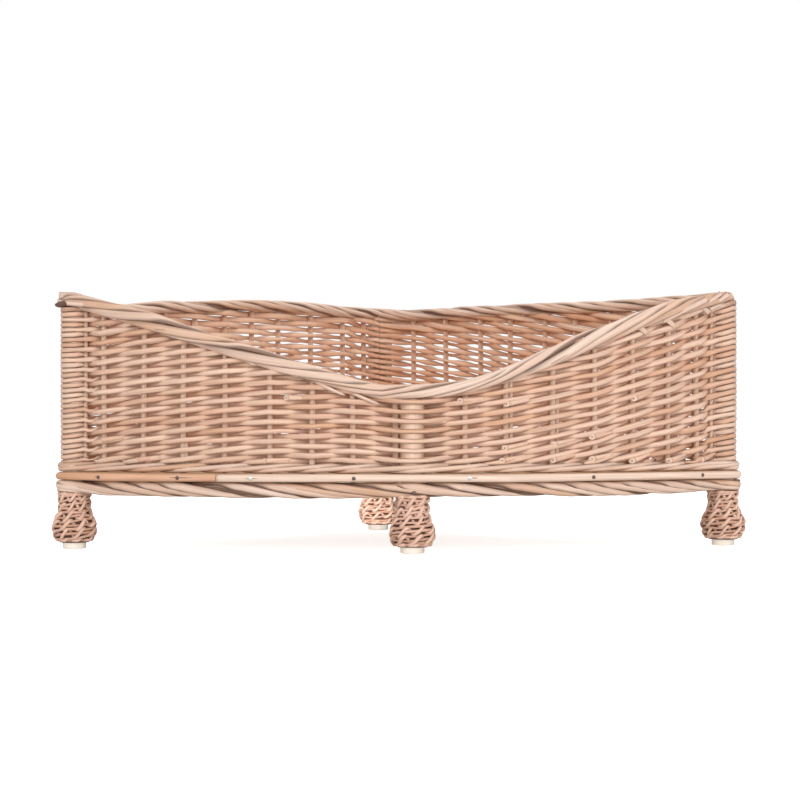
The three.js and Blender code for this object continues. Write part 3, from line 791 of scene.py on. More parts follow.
def weave_rim(wall, material, half_out):
    """The front rim's flat rods, nearly twice as wide as thick, climb to the right outside; the back
    rims' round ones climb to the left inside. A plain core rod, painted dark as shade, fills the middle."""
    rng = np.random.default_rng(31 if wall is FRONT else 32)
    bundle = Bundle()
    t = wall_steps(wall, 3.4 * MM)
    s = np.clip(t, 0, wall.length)
    axis = wall.height(s) - RIM_THICKNESS / 2
    if wall is FRONT:
        places, rises = zip(*FRONT_RIM_LIFT)
        lift = spline(s / MM, places, rises) * MM
        wind_border(bundle, wall, t, FRONT_RIM_TURN, RIM_RODS, FRONT_RIM_PATH, axis,
                    (half_out, FLAT_ROD_WIDTH * half_out), rng, lean=0.3, crowd=1.25,
                    lift=(lift, 0.0), section=FLAT_ROD)
    else:
        wind_border(bundle, wall, t, BACK_RIM_TURN, RIM_RODS, BACK_RIM_PATH, axis,
                    (half_out, half_out), rng, lean=0.25, crowd=1.45, sides=14)
    inner = t[(t > 1 * MM) & (t < wall.length - 1 * MM)]
    centres, guide = wall.place(inner, 0.0, wall.height(inner) - RIM_THICKNESS / 2 + RIM_CORE["rise"])
    bundle.rod(centres, guide, RIM_CORE["half_out"], RIM_CORE["half_up"], 0.9, sides=12, shade=1.0)
    return bundle.build(f"woven_rim_{wall.name}", material, [f"rim_{wall.name}"])


# Stakes and posts
PLAIN_ROD_ENDS = ((0.0, 0.72), (0.25, 0.9), (0.8, 1.0))  # distance from the end and share of the radius


def upright(bundle, place, low, high, radius, tone, rng, sides=14, round_end=1.0 * MM, sway=0.35 * MM,
            step=6 * MM):
    """A straight rod or dowel on end, with both ends rounded and a slight sway between them."""
    ends, shares = (np.array(v) for v in zip(*PLAIN_ROD_ENDS))
    middle_part = np.linspace(low + round_end, high - round_end, max(int((high - low) / step), 2))
    z = np.concatenate([low + ends * round_end, middle_part[1:-1], high - ends[::-1] * round_end])
    share = np.concatenate([shares, np.ones(len(middle_part) - 2), shares[::-1]])
    phase = rng.uniform(0, 2 * math.pi, 2)
    x = place[0] + sway * np.sin(z / (37 * MM) + phase[0])
    y = place[1] + sway * np.sin(z / (41 * MM) + phase[1])
    guide = np.broadcast_to([1.0, 0.0, 0.0], (len(z), 3))
    bundle.rod(np.column_stack([x, y, z]), guide, radius * share, radius * share, tone, sides=sides,
               shift=fibre_shift(rng))


def stand_stakes(pale, tan):
    """The front stakes are painted paler than the strands, with little painted shade on their flanks:
    painted light on stakes that lie deep in shade. The back ones have the colour of the strands round them.
    """
    for wall in WALLS:
        material = pale if wall is FRONT else tan
        for node in stake_nodes(wall.name):
            rng = np.random.default_rng(int(node[-2:]) + 100 * WALLS.index(wall))
            low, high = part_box(node)
            bundle = Bundle()
            upright(bundle, middle(node), low.z, high.z, STAKE_RADIUS, rng.uniform(0, 0.6), rng)
            bundle.build(f"willow_{node}", material, [node])


def stand_posts(material):
    for side in POST_AT:
        node = f"post_{side}"
        low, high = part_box(node)
        bundle = Bundle()
        rng = np.random.default_rng(len(side))
        upright(bundle, middle(node), low.z, high.z, POST_RADIUS, 0.4, rng, sides=48,
                round_end=1.4 * MM, sway=0.0, step=20 * MM)
        bundle.build(f"dowel_{node}", material, [node])


# Feet
FOOT_TOP_Z = 56 * MM
FOOT_TIP_Z = 7 * MM
FOOT_HEIGHT = FOOT_TOP_Z - FOOT_TIP_Z
FOOT_RADII = {"top": 17 * MM, "bulge": 23.3 * MM, "tip": 15 * MM}
FOOT_SWELL = 0.3  # share of the height, from the top, where the foot starts to swell
FOOT_BULGE = 0.7  # share of the height where it is widest
FOOT_COILS = 2  # near-level rods, each in one long coil
FOOT_COIL_TURNS = 5.9
FOOT_COIL_STEPS = 34  # rings along a coil in one turn
FOOT_STITCH_TURNS = 5.6
FOOT_COLUMNS = 7.85  # stitches in one turn; off a whole number, so that their columns wander
FOOT_STITCH_STEPS = 14  # rings along one stitch
FOOT_EDGE = 1.9 * MM  # nearest that a rod's middle comes to the top and the tip
# Rings behind the gaps, painted dark as the shade there: number, depth, distance from the top and the tip,
# and half sizes
FOOT_SHADE_RINGS = {"rings": 9, "depth": 5.4 * MM, "edge": 2 * MM, "half_out": 1.0 * MM, "half_up": 3.2 * MM}


def foot_radius(z):
    """Outer radius of a foot at a height: an S-curve out to the bulge, then a quarter oval in."""
    drop = (FOOT_TOP_Z - z) / FOOT_HEIGHT
    swell = smoothstep(drop, FOOT_SWELL, FOOT_BULGE)
    above = FOOT_RADII["top"] + (FOOT_RADII["bulge"] - FOOT_RADII["top"]) * swell
    fall = np.clip((drop - FOOT_BULGE) / (1 - FOOT_BULGE), 0, 1)
    below = FOOT_RADII["tip"] + (FOOT_RADII["bulge"] - FOOT_RADII["tip"]) * np.sqrt(1 - fall**2)
    return np.where(drop < FOOT_BULGE, above, below)


# One stitch of a foot: its share of the way to the next, height in mm and depth in mm. It crosses two
# coils on a steep slant outside, then slips back inside them
FOOT_STITCH_CYCLE = ((0.0, -3.6, -3.4), (0.12, -3.9, -1.0), (0.3, -1.8, 0.0), (0.5, 1.8, 0.0),
                     (0.64, 3.9, -1.0), (0.76, 3.4, -3.4), (0.88, 0.0, -4.2), (1.0, -3.6, -3.4))


def foot_route(post, angle, z, depth):
    """Points round a post at the foot's outer radius less the depth."""
    z = np.clip(z, FOOT_TIP_Z + FOOT_EDGE, FOOT_TOP_Z - FOOT_EDGE)
    radius = np.maximum(foot_radius(z) - depth, POST_RADIUS + 1.2 * MM)
    outward = np.column_stack([np.cos(angle), np.sin(angle), np.zeros_like(angle)])
    centres = outward * radius[:, None]
    centres[:, :2] += post
    centres[:, 2] = z
    return centres, outward


def coil_foot(bundle, post, start, radius, rng):
    """Thin rods coiled near level up the foot, from the angle start."""
    for m in range(FOOT_COILS):
        turns = np.linspace(-0.5, FOOT_COIL_TURNS + 0.5, int((FOOT_COIL_TURNS + 1) * FOOT_COIL_STEPS))
        z = FOOT_TIP_Z + FOOT_HEIGHT * (turns + m / FOOT_COILS) / FOOT_COIL_TURNS
        phase = rng.uniform(0, 6, 2)
        z = z + 0.6 * MM * np.sin(turns * 15.7 + phase[0]) + 0.4 * MM * np.sin(turns * 23.1 + phase[1])
        depth = radius + (1.5 + 0.5 * np.sin(turns * 19.3 + phase[1])) * MM
        centres, outward = foot_route(post, start + turns * 2 * math.pi, z, depth)
        thick = radius * (1 + 0.15 * np.sin(turns * 9.1 + phase[0]))
        bundle.rod(centres, outward, thick, thick, 0.4 + 0.6 * rod_tones(rng, turns + 1, 2), sides=7,
                   shift=fibre_shift(rng), crowd=1.2)


def stitch_foot(bundle, post, start, radius, rng):
    """A rod stitched over the coils: it rises steeply across two of them outside, slips back inside,
    and rises again one step round."""
    shares, rises, depths = (np.array(v) for v in zip(*FOOT_STITCH_CYCLE))
    steps = int((FOOT_STITCH_TURNS + 0.8) * FOOT_COLUMNS * FOOT_STITCH_STEPS)
    turns = np.linspace(-0.4, FOOT_STITCH_TURNS + 0.4, steps)
    stitch = turns * FOOT_COLUMNS
    share = stitch % 1
    number = np.floor(stitch - stitch.min()).astype(int)
    uneven = rng.normal(0, 1, (number.max() + 2, 2))
    lift, stretch = (uneven[number, i] * (1 - share) + uneven[number + 1, i] * share for i in (0, 1))
    z = FOOT_TIP_Z + FOOT_HEIGHT * turns / FOOT_STITCH_TURNS + 0.7 * MM * lift
    z = z + np.interp(share, shares, rises) * MM * (1 + 0.15 * stretch)
    depth = radius - np.interp(share, shares, depths) * MM
    centres, outward = foot_route(post, start + turns * 2 * math.pi, z, depth)
    thick = radius * (1 + 0.12 * np.sin(stitch / 5 + rng.uniform(0, 6)))
    bundle.rod(centres, outward, thick, thick, 0.5 * rod_tones(rng, stitch + FOOT_COLUMNS, 6), sides=8,
               shift=fibre_shift(rng))


def weave_foot(side, material, coil_radius, stitch_radius, seed):
    """Coils, the stitched rod over them, and rings inside that close the gaps, painted dark as shade."""
    rng = np.random.default_rng(seed)
    bundle = Bundle()
    post = POST_AT[side]
    start = rng.uniform(0, 2 * math.pi)
    coil_foot(bundle, post, start, coil_radius, rng)
    stitch_foot(bundle, post, start, stitch_radius, rng)
    angle = np.linspace(0, 2 * math.pi, 25)
    edge = FOOT_SHADE_RINGS["edge"]
    for z in np.linspace(FOOT_TIP_Z + edge, FOOT_TOP_Z - edge, FOOT_SHADE_RINGS["rings"]):
        centres, outward = foot_route(post, angle, np.full(25, z), FOOT_SHADE_RINGS["depth"])
        bundle.rod(centres, outward, FOOT_SHADE_RINGS["half_out"], FOOT_SHADE_RINGS["half_up"], 1.0, sides=6,
                   shade=1.3)
    return bundle.build(f"woven_foot_{side}", material, [f"foot_wrap_{side}"])


# Edge strips
STRIP_BACK = 14.3 * MM  # inner face of a strip, outward from the middle of its wall
STRIP_DEPTH = 4.5 * MM
STRIP_HEIGHT = 7.8 * MM
STRIP_MIDDLE = 71.9 * MM
STRIP_JOINT = FRONT_MIDDLE - 184 * MM
JOINT_HALF = 0.45 * MM  # half the gap at the joint
# Strips: wall, start, end, tone and slot
STRIPS = {
    "edge_strip_front_left": (FRONT, FRONT.first, STRIP_JOINT - JOINT_HALF, 1.0, "warm_willow"),
    "edge_strip_front_right": (FRONT, STRIP_JOINT + JOINT_HALF, FRONT.last, 0.0, "pale_willow"),
    "edge_strip_back_right": (BACK_RIGHT, BACK_RIGHT.first, BACK_RIGHT.last, 0.5, "warm_willow"),
    "edge_strip_back_left": (BACK_LEFT, BACK_LEFT.first, BACK_LEFT.last, 0.7, "warm_willow"),
}
SPLIT_SUNK = 0.3 * MM  # depth of a split's middle under the strip's face
# Short splits in the front strip by its nails, each a thin rod painted dark as the shade inside the split:
# start, end and height, in mm
STRIP_SPLITS = ((35, 46, 71.5), (114, 142, 71.8), (188, 207, 71.5), (400, 407, 72))
# Section of a split rod: flat inside, round outside
half_circle = np.linspace(-math.pi / 2, math.pi / 2, 11)
HALF_ROUND = np.concatenate([
    np.column_stack([2 * np.cos(half_circle) ** 0.75 - 1, np.sin(half_circle)]),
    [(-1, 0.5), (-1, -0.5)],
])


def lay_strip(node, material, seed):
    """A half-round rod along the board's edge, with the slight waves of a split rod, and the splits by
    its nails."""
    wall, start, end, tone, slot = STRIPS[node]
    rng = np.random.default_rng(seed)
    t = np.linspace(start, end, int((end - start) / (4 * MM)) + 2)
    phase = rng.uniform(0, 2 * math.pi, 3)
    z = STRIP_MIDDLE + 0.35 * MM * np.sin(t / (47 * MM) + phase[0])
    thick = 1 + 0.05 * np.sin(t / (38 * MM) + phase[1]) - 0.04
    half_out = STRIP_DEPTH / 2 * np.minimum(thick, 1)
    centres, guide = wall.place(t, STRIP_BACK + half_out, z)
    bundle = Bundle()
    bundle.rod(centres, guide, half_out, STRIP_HEIGHT / 2 * thick, tone, section=HALF_ROUND,
               shift=fibre_shift(rng))
    for first, last, height in STRIP_SPLITS:
        if wall is FRONT and start < first * MM and last * MM < end:
            f = np.linspace(0, 1, 9)
            t = (first + (last - first) * f) * MM
            centres, guide = wall.place(t, STRIP_BACK + STRIP_DEPTH - SPLIT_SUNK, height * MM)
            size = (0.05 + 0.4 * np.sin(f * math.pi)) * MM
            # A split is painted dark, as the shade inside it
            bundle.rod(centres, guide, size, size, 1.0, sides=6, shade=1.8)
    return bundle.build(f"half_round_{node}", material, [node])


# Nails: wall, distance along it and height in mm, and whether the head is bright: a paler metal that
# paints the glint on those heads
NAILS = (
    (FRONT, 41.9, 71.4, False), (FRONT, 125.5, 71.6, False), (FRONT, 196.4, 71.6, True),
    (FRONT, 292.2, 71.8, False), (FRONT, 399.0, 72.0, True), (FRONT, 520.8, 72.0, False),
    (FRONT, 647.2, 72.2, False),
    (BACK_RIGHT, 30, 72, False), (BACK_RIGHT, 128, 71.6, False), (BACK_RIGHT, 231, 72.2, True),
    (BACK_RIGHT, 334, 71.8, False), (BACK_RIGHT, 431, 72, False),
    (BACK_LEFT, 28, 71.8, False), (BACK_LEFT, 131, 72.2, True), (BACK_LEFT, 233, 71.6, False),
    (BACK_LEFT, 329, 72, False), (BACK_LEFT, 432, 71.8, False),
)
BORDER_NAIL = (FRONT, 347.8, 57.8, 16.2 * MM)  # over the front foot, with its distance outward
NAIL_SUNK = 0.25 * MM  # depth of a head's rim under the strip's face
# From shank to head: distance outward in mm and share of the head's radius
NAIL_PROFILE = ((-2.2, 0.45), (-0.2, 0.45), (-0.2, 0.98), (0.15, 1.0), (0.45, 0.86), (0.66, 0.55),
                (0.74, 0.1))


def drive_nails(dark, glint_metal, radius):
    """Domed heads on short shanks that go into the strip. The heads that glint get a paler metal, a
    painted glint.
    """
    along, shares = (np.array(v) for v in zip(*NAIL_PROFILE))
    guide = np.broadcast_to([0.0, 0.0, 1.0], (len(along), 3))
    for glinting, material, name in ((False, dark, "nails_dark"), (True, glint_metal, "nails_bright")):
        heads = [(wall, s, z, STRIP_BACK + STRIP_DEPTH - NAIL_SUNK) for wall, s, z, has_glint in NAILS
                 if has_glint == glinting]
        if not glinting:
            heads.append(BORDER_NAIL)
        bundle = Bundle()
        for wall, s, z, out in heads:
            centre, outward = wall.place([s * MM], out, z * MM)
            bundle.rod(centre + along[:, None] * MM * outward, guide, radius * shares, radius * shares,
                       0.5, sides=16)
        bundle.build(name, material)


# Loose ends: where each rod of the siding starts or stops, its butt lies in front of a stake. Distance
# along the wall and height, in mm
CUT_ENDS = (
    (37.9, 106.9), (78.4, 87.9), (208.3, 87.9), (229.3, 147.9), (356.8, 124.2), (393.8, 145.1),
    (434.6, 88.2), (437.1, 100.2), (439.0, 142.3), (485.9, 88.4), (486.6, 103.5), (527.1, 89.2),
    (527.1, 110.4), (571.9, 87.0), (574.2, 147.9), (616.5, 86.8), (658.6, 87.0),
)
CUT_END_LENGTH = 24 * MM
CUT_END_RADIUS = 2.75 * MM
CUT_END_LEAD = 1.5 * MM  # how far left of its stake it starts
CUT_END_PROUD = 1.0 * MM  # how far it stands out past the strands at its start
CUT_END_SINKS = 4.2 * MM  # how far it goes in on its way
CUT_END_RISE = 0.3 * MM
CUT_SLANT = 1.05
PITH_RADIUS = 0.3 * MM
PITH_HALF = 0.6 * MM  # half the height of the dark core in the cut
# Second stakes beside the first: distance along the wall, lowest and highest point, in mm
BYE_STAKES = ((14.0, 86, 238), (127.2, 86, 108), (443.4, 86, 170), (491.0, 87, 150), (531.5, 88, 140),
              (677.4, 86, 242), (682.0, 86, 243))
BYE_STAKE_RADIUS = 1.9 * MM


def climb_slope(wall, s):
    """Slope of the siding strands at a distance along the wall."""
    places = np.array([place for place, _ in wall.stations])
    grid = np.linspace(0, len(places) - 1, 400)
    along = np.interp(grid, np.arange(len(places)), places)
    height = climb(wall, grid) * row_height(wall, along)
    return np.interp(s, along, np.gradient(height, along))


def lay_cut_ends(material, half_out):
    """Each butt starts just left of its stake, proud of the wall, follows the strands up and sinks into
    its own strand within the bay. Its slanted face shows a dark core."""
    bundle = Bundle()
    f = np.linspace(0, 1, 12)
    for number, (s, z) in enumerate(CUT_ENDS):
        rng = np.random.default_rng(number + 50)
        t = s * MM - CUT_END_LEAD + CUT_END_LENGTH * f
        out = STAKE_RADIUS + half_out + CUT_END_PROUD - CUT_END_SINKS * smoothstep(f, 0.2, 1.0)
        height = z * MM + climb_slope(FRONT, s * MM) * (t - s * MM) + CUT_END_RISE
        centres, guide = FRONT.place(t, out, height)
        size = CUT_END_RADIUS * (1 - 0.3 * f)
        # The first ring behind the cut face is painted dark, a painted shade that outlines the face
        bundle.rod(centres, guide, size * 0.9, size, rng.uniform(0, 0.7), slant=CUT_SLANT,
                   shift=fibre_shift(rng), shade=np.interp(f, [0, 0.09], [1.1, 0]))
        # The pith is the rod's own dark core, drawn through the same shade value as the painted shade
        face = unit(guide[:1] * CUT_SLANT + unit(centres[:1] - centres[1:2]))
        pith = centres[0] + np.array([[-PITH_HALF], [PITH_HALF]]) * [0, 0, 1] + 0.1 * MM * face
        bundle.rod(pith, np.repeat(face, 2, axis=0), PITH_RADIUS, PITH_HALF, 0.8, sides=8, shade=1.6)
    bundle.build("cut_ends_front", material)


def stand_bye_stakes(material):
    bundle = Bundle()
    for number, (s, low, high) in enumerate(BYE_STAKES):
        place = FRONT.frame_at(np.array([s * MM]))[0][0]
        rng = np.random.default_rng(number + 70)
        upright(bundle, place, low * MM, high * MM, BYE_STAKE_RADIUS, 0.3, rng, sides=10, sway=0.2 * MM)
    bundle.build("bye_stakes_front", material)


# Tails: pointed rods that run out below the front rim. Stubs: short blunt ones across its lower edge.
# Place along the wall, height and length, all in mm as in the tables below
RIM_TAILS = ((55.7, 224.0, 30), (119.9, 211.4, 30), (199.1, 179.3, 30), (239.9, 167.8, 34),
             (283.8, 150.7, 34), (315.4, 142.5, 34), (362.0, 144.6, 32))
RIM_STUBS = ((583.0, 215.0, 9), (617.0, 222.5, 9), (663.0, 237.0, 9))
TAIL_OUT = 7.4 * MM  # offset of a tail's point, and how much less and higher its root lies
TAIL_IN = 3.6 * MM
TAIL_UP = 7.0 * MM
TAIL_RADIUS = ((0, 1.9), (0.55, 1.8), (0.92, 1.2), (1, 0.3))  # share of the length, and radius
# Thick rods that lie along the rim and run straight on past its end posts to a blunt end: start and
# end along the wall, height above the rim's axis at each, offset at each, and radius
RIM_BUTTS = ((608, 659, -8.5, 1.4, 4.5, 10.8, 3.4), (646, 679.3, -8.5, 5.1, 2.0, 11.0, 2.5),
             (664, 689.5, -8.5, 3.9, 1.0, 11.0, 2.8), (668, 703, -9.3, -0.7, 7.0, 6.5, 2.9),
             (66, -16.5, 3.4, 4.7, 4.5, 3.0, 3.8), (40, -1.6, 1.5, -3.6, 6.5, 9.4, 3.0),
             (26, -20, 0.2, -0.4, -2.0, 1.5, 2.6))
# A rod painted dark, standing for the shade in the gap between the rods at the left end
HOLLOW_SHADE_ROD = (9, -19.5, -3.9, -4.4, 6.6, 6.6, 3.6)  # dark gap between the rods at the left end


def lay_butt(bundle, butt, shares, **looks):
    """A rod along the front rim from its visible end inward, straight where it is past an end post, its
    radius times the shares."""
    start, end, rise, end_rise, out, end_out, radius = butt
    f = np.linspace(1, 0, len(shares))
    t = (start + (end - start) * f) * MM
    s = np.clip(t, 0, FRONT.length)
    height = dip_height(s) - RIM_THICKNESS / 2 + (rise + (end_rise - rise) * f) * MM
    offset = (out + (end_out - out) * smoothstep(f, 0, 0.8)) * MM
    centres, guide = FRONT.place(s, offset, height)
    onward = np.column_stack([-guide[:, 1], guide[:, 0], guide[:, 2]])
    half = radius * MM * shares
    bundle.rod(centres + (t - s)[:, None] * onward, guide, half, half, 0.1, sides=14, **looks)


def lay_rim_ends(material):
    """Tails that follow the rim's lower edge to a point, short stubs across it, and the butts at its two
    ends."""
    bundle = Bundle()
    shares, radii = zip(*TAIL_RADIUS)
    f = np.linspace(0, 1, 14)
    for number, (s, z, length) in enumerate(RIM_TAILS):
        t = s * MM + length * MM * (f - 1)
        below = z * MM - dip_height(np.array([s * MM]))[0]
        height = dip_height(t) + below + TAIL_UP * (1 - f) ** 1.4
        centres, guide = FRONT.place(t, TAIL_OUT - TAIL_IN * (1 - f), height)
        size = np.interp(f, shares, radii) * MM
        bundle.rod(centres, guide, size * 0.8, size, 0.15 + 0.1 * (number % 3))
    f = np.linspace(0, 1, 8)
    for s, z, length in RIM_STUBS:
        t = s * MM + length * MM * (f - 0.6)
        centres, guide = FRONT.place(t, 5.6 * MM + 2.0 * MM * f, z * MM + 4.2 * MM - 7 * MM * f)
        bundle.rod(centres, guide, 1.6 * MM, 3.0 * MM, 0.6)
    for butt in RIM_BUTTS:
        lay_butt(bundle, butt, np.linspace(0.97, 0.78, 20), slant=0.5, crowd=1.4)
    # A rod painted dark stands for the shade in the gap at the left end
    lay_butt(bundle, HOLLOW_SHADE_ROD, np.sin(np.linspace(0.01, 3.13, 20)) ** 0.4, shade=2.0)
    bundle.build("rim_ends_front", material)


# Materials
RELIEF_DEPTH = 0.3 * MM
TAN_SHARE = 0.35  # share of the rods, from the deepest, that have tan patches
STREAK_SHADES = ((0.8, 0.76, 0.72), (1.08, 1.07, 1.06))  # what dark and light streaks multiply by
WILLOW_ROUGHNESS = (0.5, 0.66)
# Colour of the painted shade between the rods of the borders, rims, wale and feet
DARK_SHADE_COLOUR = (0.13, 0.06, 0.036)
# The peg's near-white colour is painted light from the floor below
PEG_LIGHT_HEIGHTS = (14 * MM, 6 * MM)  # heights between which the post's colour turns to the peg's


def linear(red, green, blue):
    """Scene-linear colour from the 0 to 255 values of a screen colour."""
    def channel(value):
        c = value / 255
        return c / 12.92 if c <= 0.04045 else ((c + 0.055) / 1.055) ** 2.4
    return (channel(red), channel(green), channel(blue))


# Outputs of the fibre group: scale of the noise along a rod and across it, and its detail
FIBRE_NOISES = (
    ("Streaks", (14, 620, 620), 3.0),
    ("Patches", (16, 60, 60), 2.0),
    ("Specks", (160, 420, 420), 2.0),
)


def fibre_group():
    """Node group: streaks along a rod, slow patches of colour and fine specks, all from the rod's own
    fibre attribute."""
    name = "Willow fibre"
    group = bpy.data.node_groups.get(name)
    if group:
        return group
    group = bpy.data.node_groups.new(name, "ShaderNodeTree")
    nodes, links = group.nodes, group.links
    group.interface.new_socket("Fibre", in_out="INPUT", socket_type="NodeSocketVector")
    for output, _, _ in FIBRE_NOISES:
        group.interface.new_socket(output, in_out="OUTPUT", socket_type="NodeSocketFloat")
    source = nodes.new("NodeGroupInput")
    sink = nodes.new("NodeGroupOutput")
    for output, scale, detail in FIBRE_NOISES:
        stretch = nodes.new("ShaderNodeVectorMath")
        stretch.operation = "MULTIPLY"
        stretch.inputs[1].default_value = scale
        links.new(source.outputs["Fibre"], stretch.inputs[0])
        links.new(noise(nodes, links, stretch.outputs[0], 1.0, detail), sink.inputs[output])
    return group


def noise(nodes, links, place, scale, detail=2.0):
    """Noise from 0 to 1 over a place."""
    texture = nodes.new("ShaderNodeTexNoise")
    texture.inputs["Scale"].default_value = scale
    texture.inputs["Detail"].default_value = detail
    links.new(place, texture.inputs["Vector"])
    return texture.outputs["Fac"]


def arithmetic(nodes, links, operation, first, second):
    """Result of a maths node on a socket and on a second socket or a number."""
    node = nodes.new("ShaderNodeMath")
    node.operation = operation
    links.new(first, node.inputs[0])
    if isinstance(second, bpy.types.NodeSocket):
        links.new(second, node.inputs[1])
    else:
        node.inputs[1].default_value = second
    return node.outputs[0]


def ramp(nodes, links, source, low, high):
    """Value that goes from 0 to 1 as the source goes from low to high."""
    node = nodes.new("ShaderNodeMapRange")
    node.inputs["From Min"].default_value = low
    node.inputs["From Max"].default_value = high
    links.new(source, node.inputs["Value"])
    return node.outputs["Result"]


def mix_colour(nodes, links, share, first, second, blend="MIX"):
    node = nodes.new("ShaderNodeMix")
    node.data_type = "RGBA"
    node.blend_type = blend
    for value, socket in ((share, node.inputs[0]), (first, node.inputs[6]), (second, node.inputs[7])):
        if isinstance(value, bpy.types.NodeSocket):
            links.new(value, socket)
        elif isinstance(value, float):
            socket.default_value = value
        else:
            socket.default_value = (*value, 1.0)
    return node.outputs[2]


def new_material(name):
    material = bpy.data.materials.new(name)
    material.use_nodes = True
    nodes, links = material.node_tree.nodes, material.node_tree.links
    return material, nodes, links, nodes["Principled BSDF"]


def attribute(nodes, name):
    node = nodes.new("ShaderNodeAttribute")
    node.attribute_name = name
    return node


def fibre_grain(nodes, links):
    """The fibre group's outputs, and its streaks with more contrast."""
    grain = nodes.new("ShaderNodeGroup")
    grain.node_tree = fibre_group()
    links.new(attribute(nodes, "fibre").outputs["Vector"], grain.inputs["Fibre"])
    return grain.outputs, ramp(nodes, links, grain.outputs["Streaks"], 0.3, 0.7)


def relief(nodes, links, shader, height, strength):
    bump = nodes.new("ShaderNodeBump")
    bump.inputs["Strength"].default_value = strength
    bump.inputs["Distance"].default_value = RELIEF_DEPTH
    links.new(height, bump.inputs["Height"])
    links.new(bump.outputs["Normal"], shader.inputs["Normal"])


def willow_material(name, pale, deep, tan, shade_colour=(0.2, 0.095, 0.055), shade_share=0.42,
                    cut_colour=(0.84, 0.63, 0.49)):
    """Peeled willow: pale and deep rods by tone, streaks along the fibre, tan patches on some rods,
    painted shade on the flanks where rods meet, pale cut ends, and a slight relief."""
    material, nodes, links, shader = new_material(name)
    tone, flank, cut = (attribute(nodes, label).outputs["Fac"] for label in ("tone", "flank", "cut"))
    grain, streaks = fibre_grain(nodes, links)
    patches = ramp(nodes, links, grain["Patches"], 0.35, 0.7)
    tanned = arithmetic(nodes, links, "MULTIPLY", ramp(nodes, links, tone, 1 - TAN_SHARE, 1.0), patches)
    shades = mix_colour(nodes, links, streaks, *STREAK_SHADES)
    # Painted shade: the flank shade, squared, mixes the colour towards the shade colour
    sides = arithmetic(nodes, links, "POWER", flank, 2.0)
    painted_shade = arithmetic(nodes, links, "MULTIPLY", sides, shade_share)
    base = mix_colour(nodes, links, tone, pale, deep)
    base = mix_colour(nodes, links, tanned, base, tan)
    base = mix_colour(nodes, links, 1.0, base, shades, "MULTIPLY")
    base = mix_colour(nodes, links, painted_shade, base, shade_colour)
    base = mix_colour(nodes, links, cut, base, cut_colour)
    links.new(base, shader.inputs["Base Color"])
    rough = nodes.new("ShaderNodeMapRange")
    rough.inputs["To Min"].default_value, rough.inputs["To Max"].default_value = WILLOW_ROUGHNESS
    links.new(grain["Specks"], rough.inputs["Value"])
    links.new(rough.outputs["Result"], shader.inputs["Roughness"])
    relief(nodes, links, shader, grain["Streaks"], 0.4)
    return material


def darker(colour, share):
    return tuple(channel * share for channel in colour)


def dowel_material(peg_light_colour, post_colour):
    """Turned wood: tan where strands cover it, and nearly white at the peg that stands on the floor,
    painted light from the floor below.
    """
    material, nodes, links, shader = new_material("Dowel wood")
    streaks = fibre_grain(nodes, links)[1]
    place = nodes.new("ShaderNodeTexCoord")
    split = nodes.new("ShaderNodeSeparateXYZ")
    links.new(place.outputs["Object"], split.inputs["Vector"])
    peg = ramp(nodes, links, split.outputs["Z"], *PEG_LIGHT_HEIGHTS)
    covered = mix_colour(nodes, links, streaks, darker(post_colour, 0.86), tuple(post_colour))
    # The peg's near-white colour is painted light
    bare = mix_colour(nodes, links, streaks, darker(peg_light_colour, 0.9), tuple(peg_light_colour))
    links.new(mix_colour(nodes, links, peg, covered, bare), shader.inputs["Base Color"])
    shader.inputs["Roughness"].default_value = 0.55
    return material


def metal_material(name, colour, roughness):
    """Metal with a fine mottle."""
    material, nodes, links, shader = new_material(name)
    place = nodes.new("ShaderNodeTexCoord")
    mottle = noise(nodes, links, place.outputs["Object"], 900)
    links.new(mix_colour(nodes, links, mottle, darker(colour, 0.7), colour), shader.inputs["Base Color"])
    shader.inputs["Metallic"].default_value = 1.0
    shader.inputs["Roughness"].default_value = roughness
    return material


def board_material():
    """Plywood: long grain along the width, and pores."""
    material, nodes, links, shader = new_material("Plywood")
    place = nodes.new("ShaderNodeTexCoord")
    stretch = nodes.new("ShaderNodeMapping")
    stretch.inputs["Scale"].default_value = (6, 60, 60)
    links.new(place.outputs["Object"], stretch.inputs["Vector"])
    stretched = stretch.outputs["Vector"]
    grain = ramp(nodes, links, noise(nodes, links, stretched, 1.0, 6.0), 0.35, 0.65)
    pores = noise(nodes, links, stretched, 14.0)
    base = mix_colour(nodes, links, grain, linear(222, 186, 148), linear(196, 154, 114))
    base = mix_colour(nodes, links, ramp(nodes, links, pores, 0.56, 0.75), base, linear(160, 118, 84))
    links.new(base, shader.inputs["Base Color"])
    shader.inputs["Roughness"].default_value = 0.6
    relief(nodes, links, shader, pores, 0.15)
    return material


# What a user may change
def length(name, description, default):
    return FloatProperty(name=name, description=description, default=default, min=0.2 * MM, max=20 * MM,
                         precision=4, unit="LENGTH")


def colour(name, description, red, green, blue):
    return FloatVectorProperty(name=name, description=description, default=linear(red, green, blue), size=3,
                               min=0, max=1, subtype="COLOR")


class BasketSizes(PropertyGroup):
    """Thickness of the rods"""
    siding: length("Siding Strand", "Depth of a siding strand", 4.3 * MM)
    wale: length("Wale Rod", "Depth of a wale rod", 4.6 * MM)
    border: length("Border Rod", "Depth of a foot border rod", 6.6 * MM)
    front_rim: length("Front Rim Rod", "Depth of a flat rod of the front rim", 4.6 * MM)
    back_rim: length("Back Rim Rod", "Thickness of a round rod of the back rims", 6.5 * MM)
    coil: length("Foot Coil", "Thickness of the level rods of a foot", 2.8 * MM)
    stitch: length("Foot Stitch", "Thickness of the slanting rods of a foot", 3.8 * MM)
    nail: length("Nail Head", "Width of a nail head", 3.8 * MM)


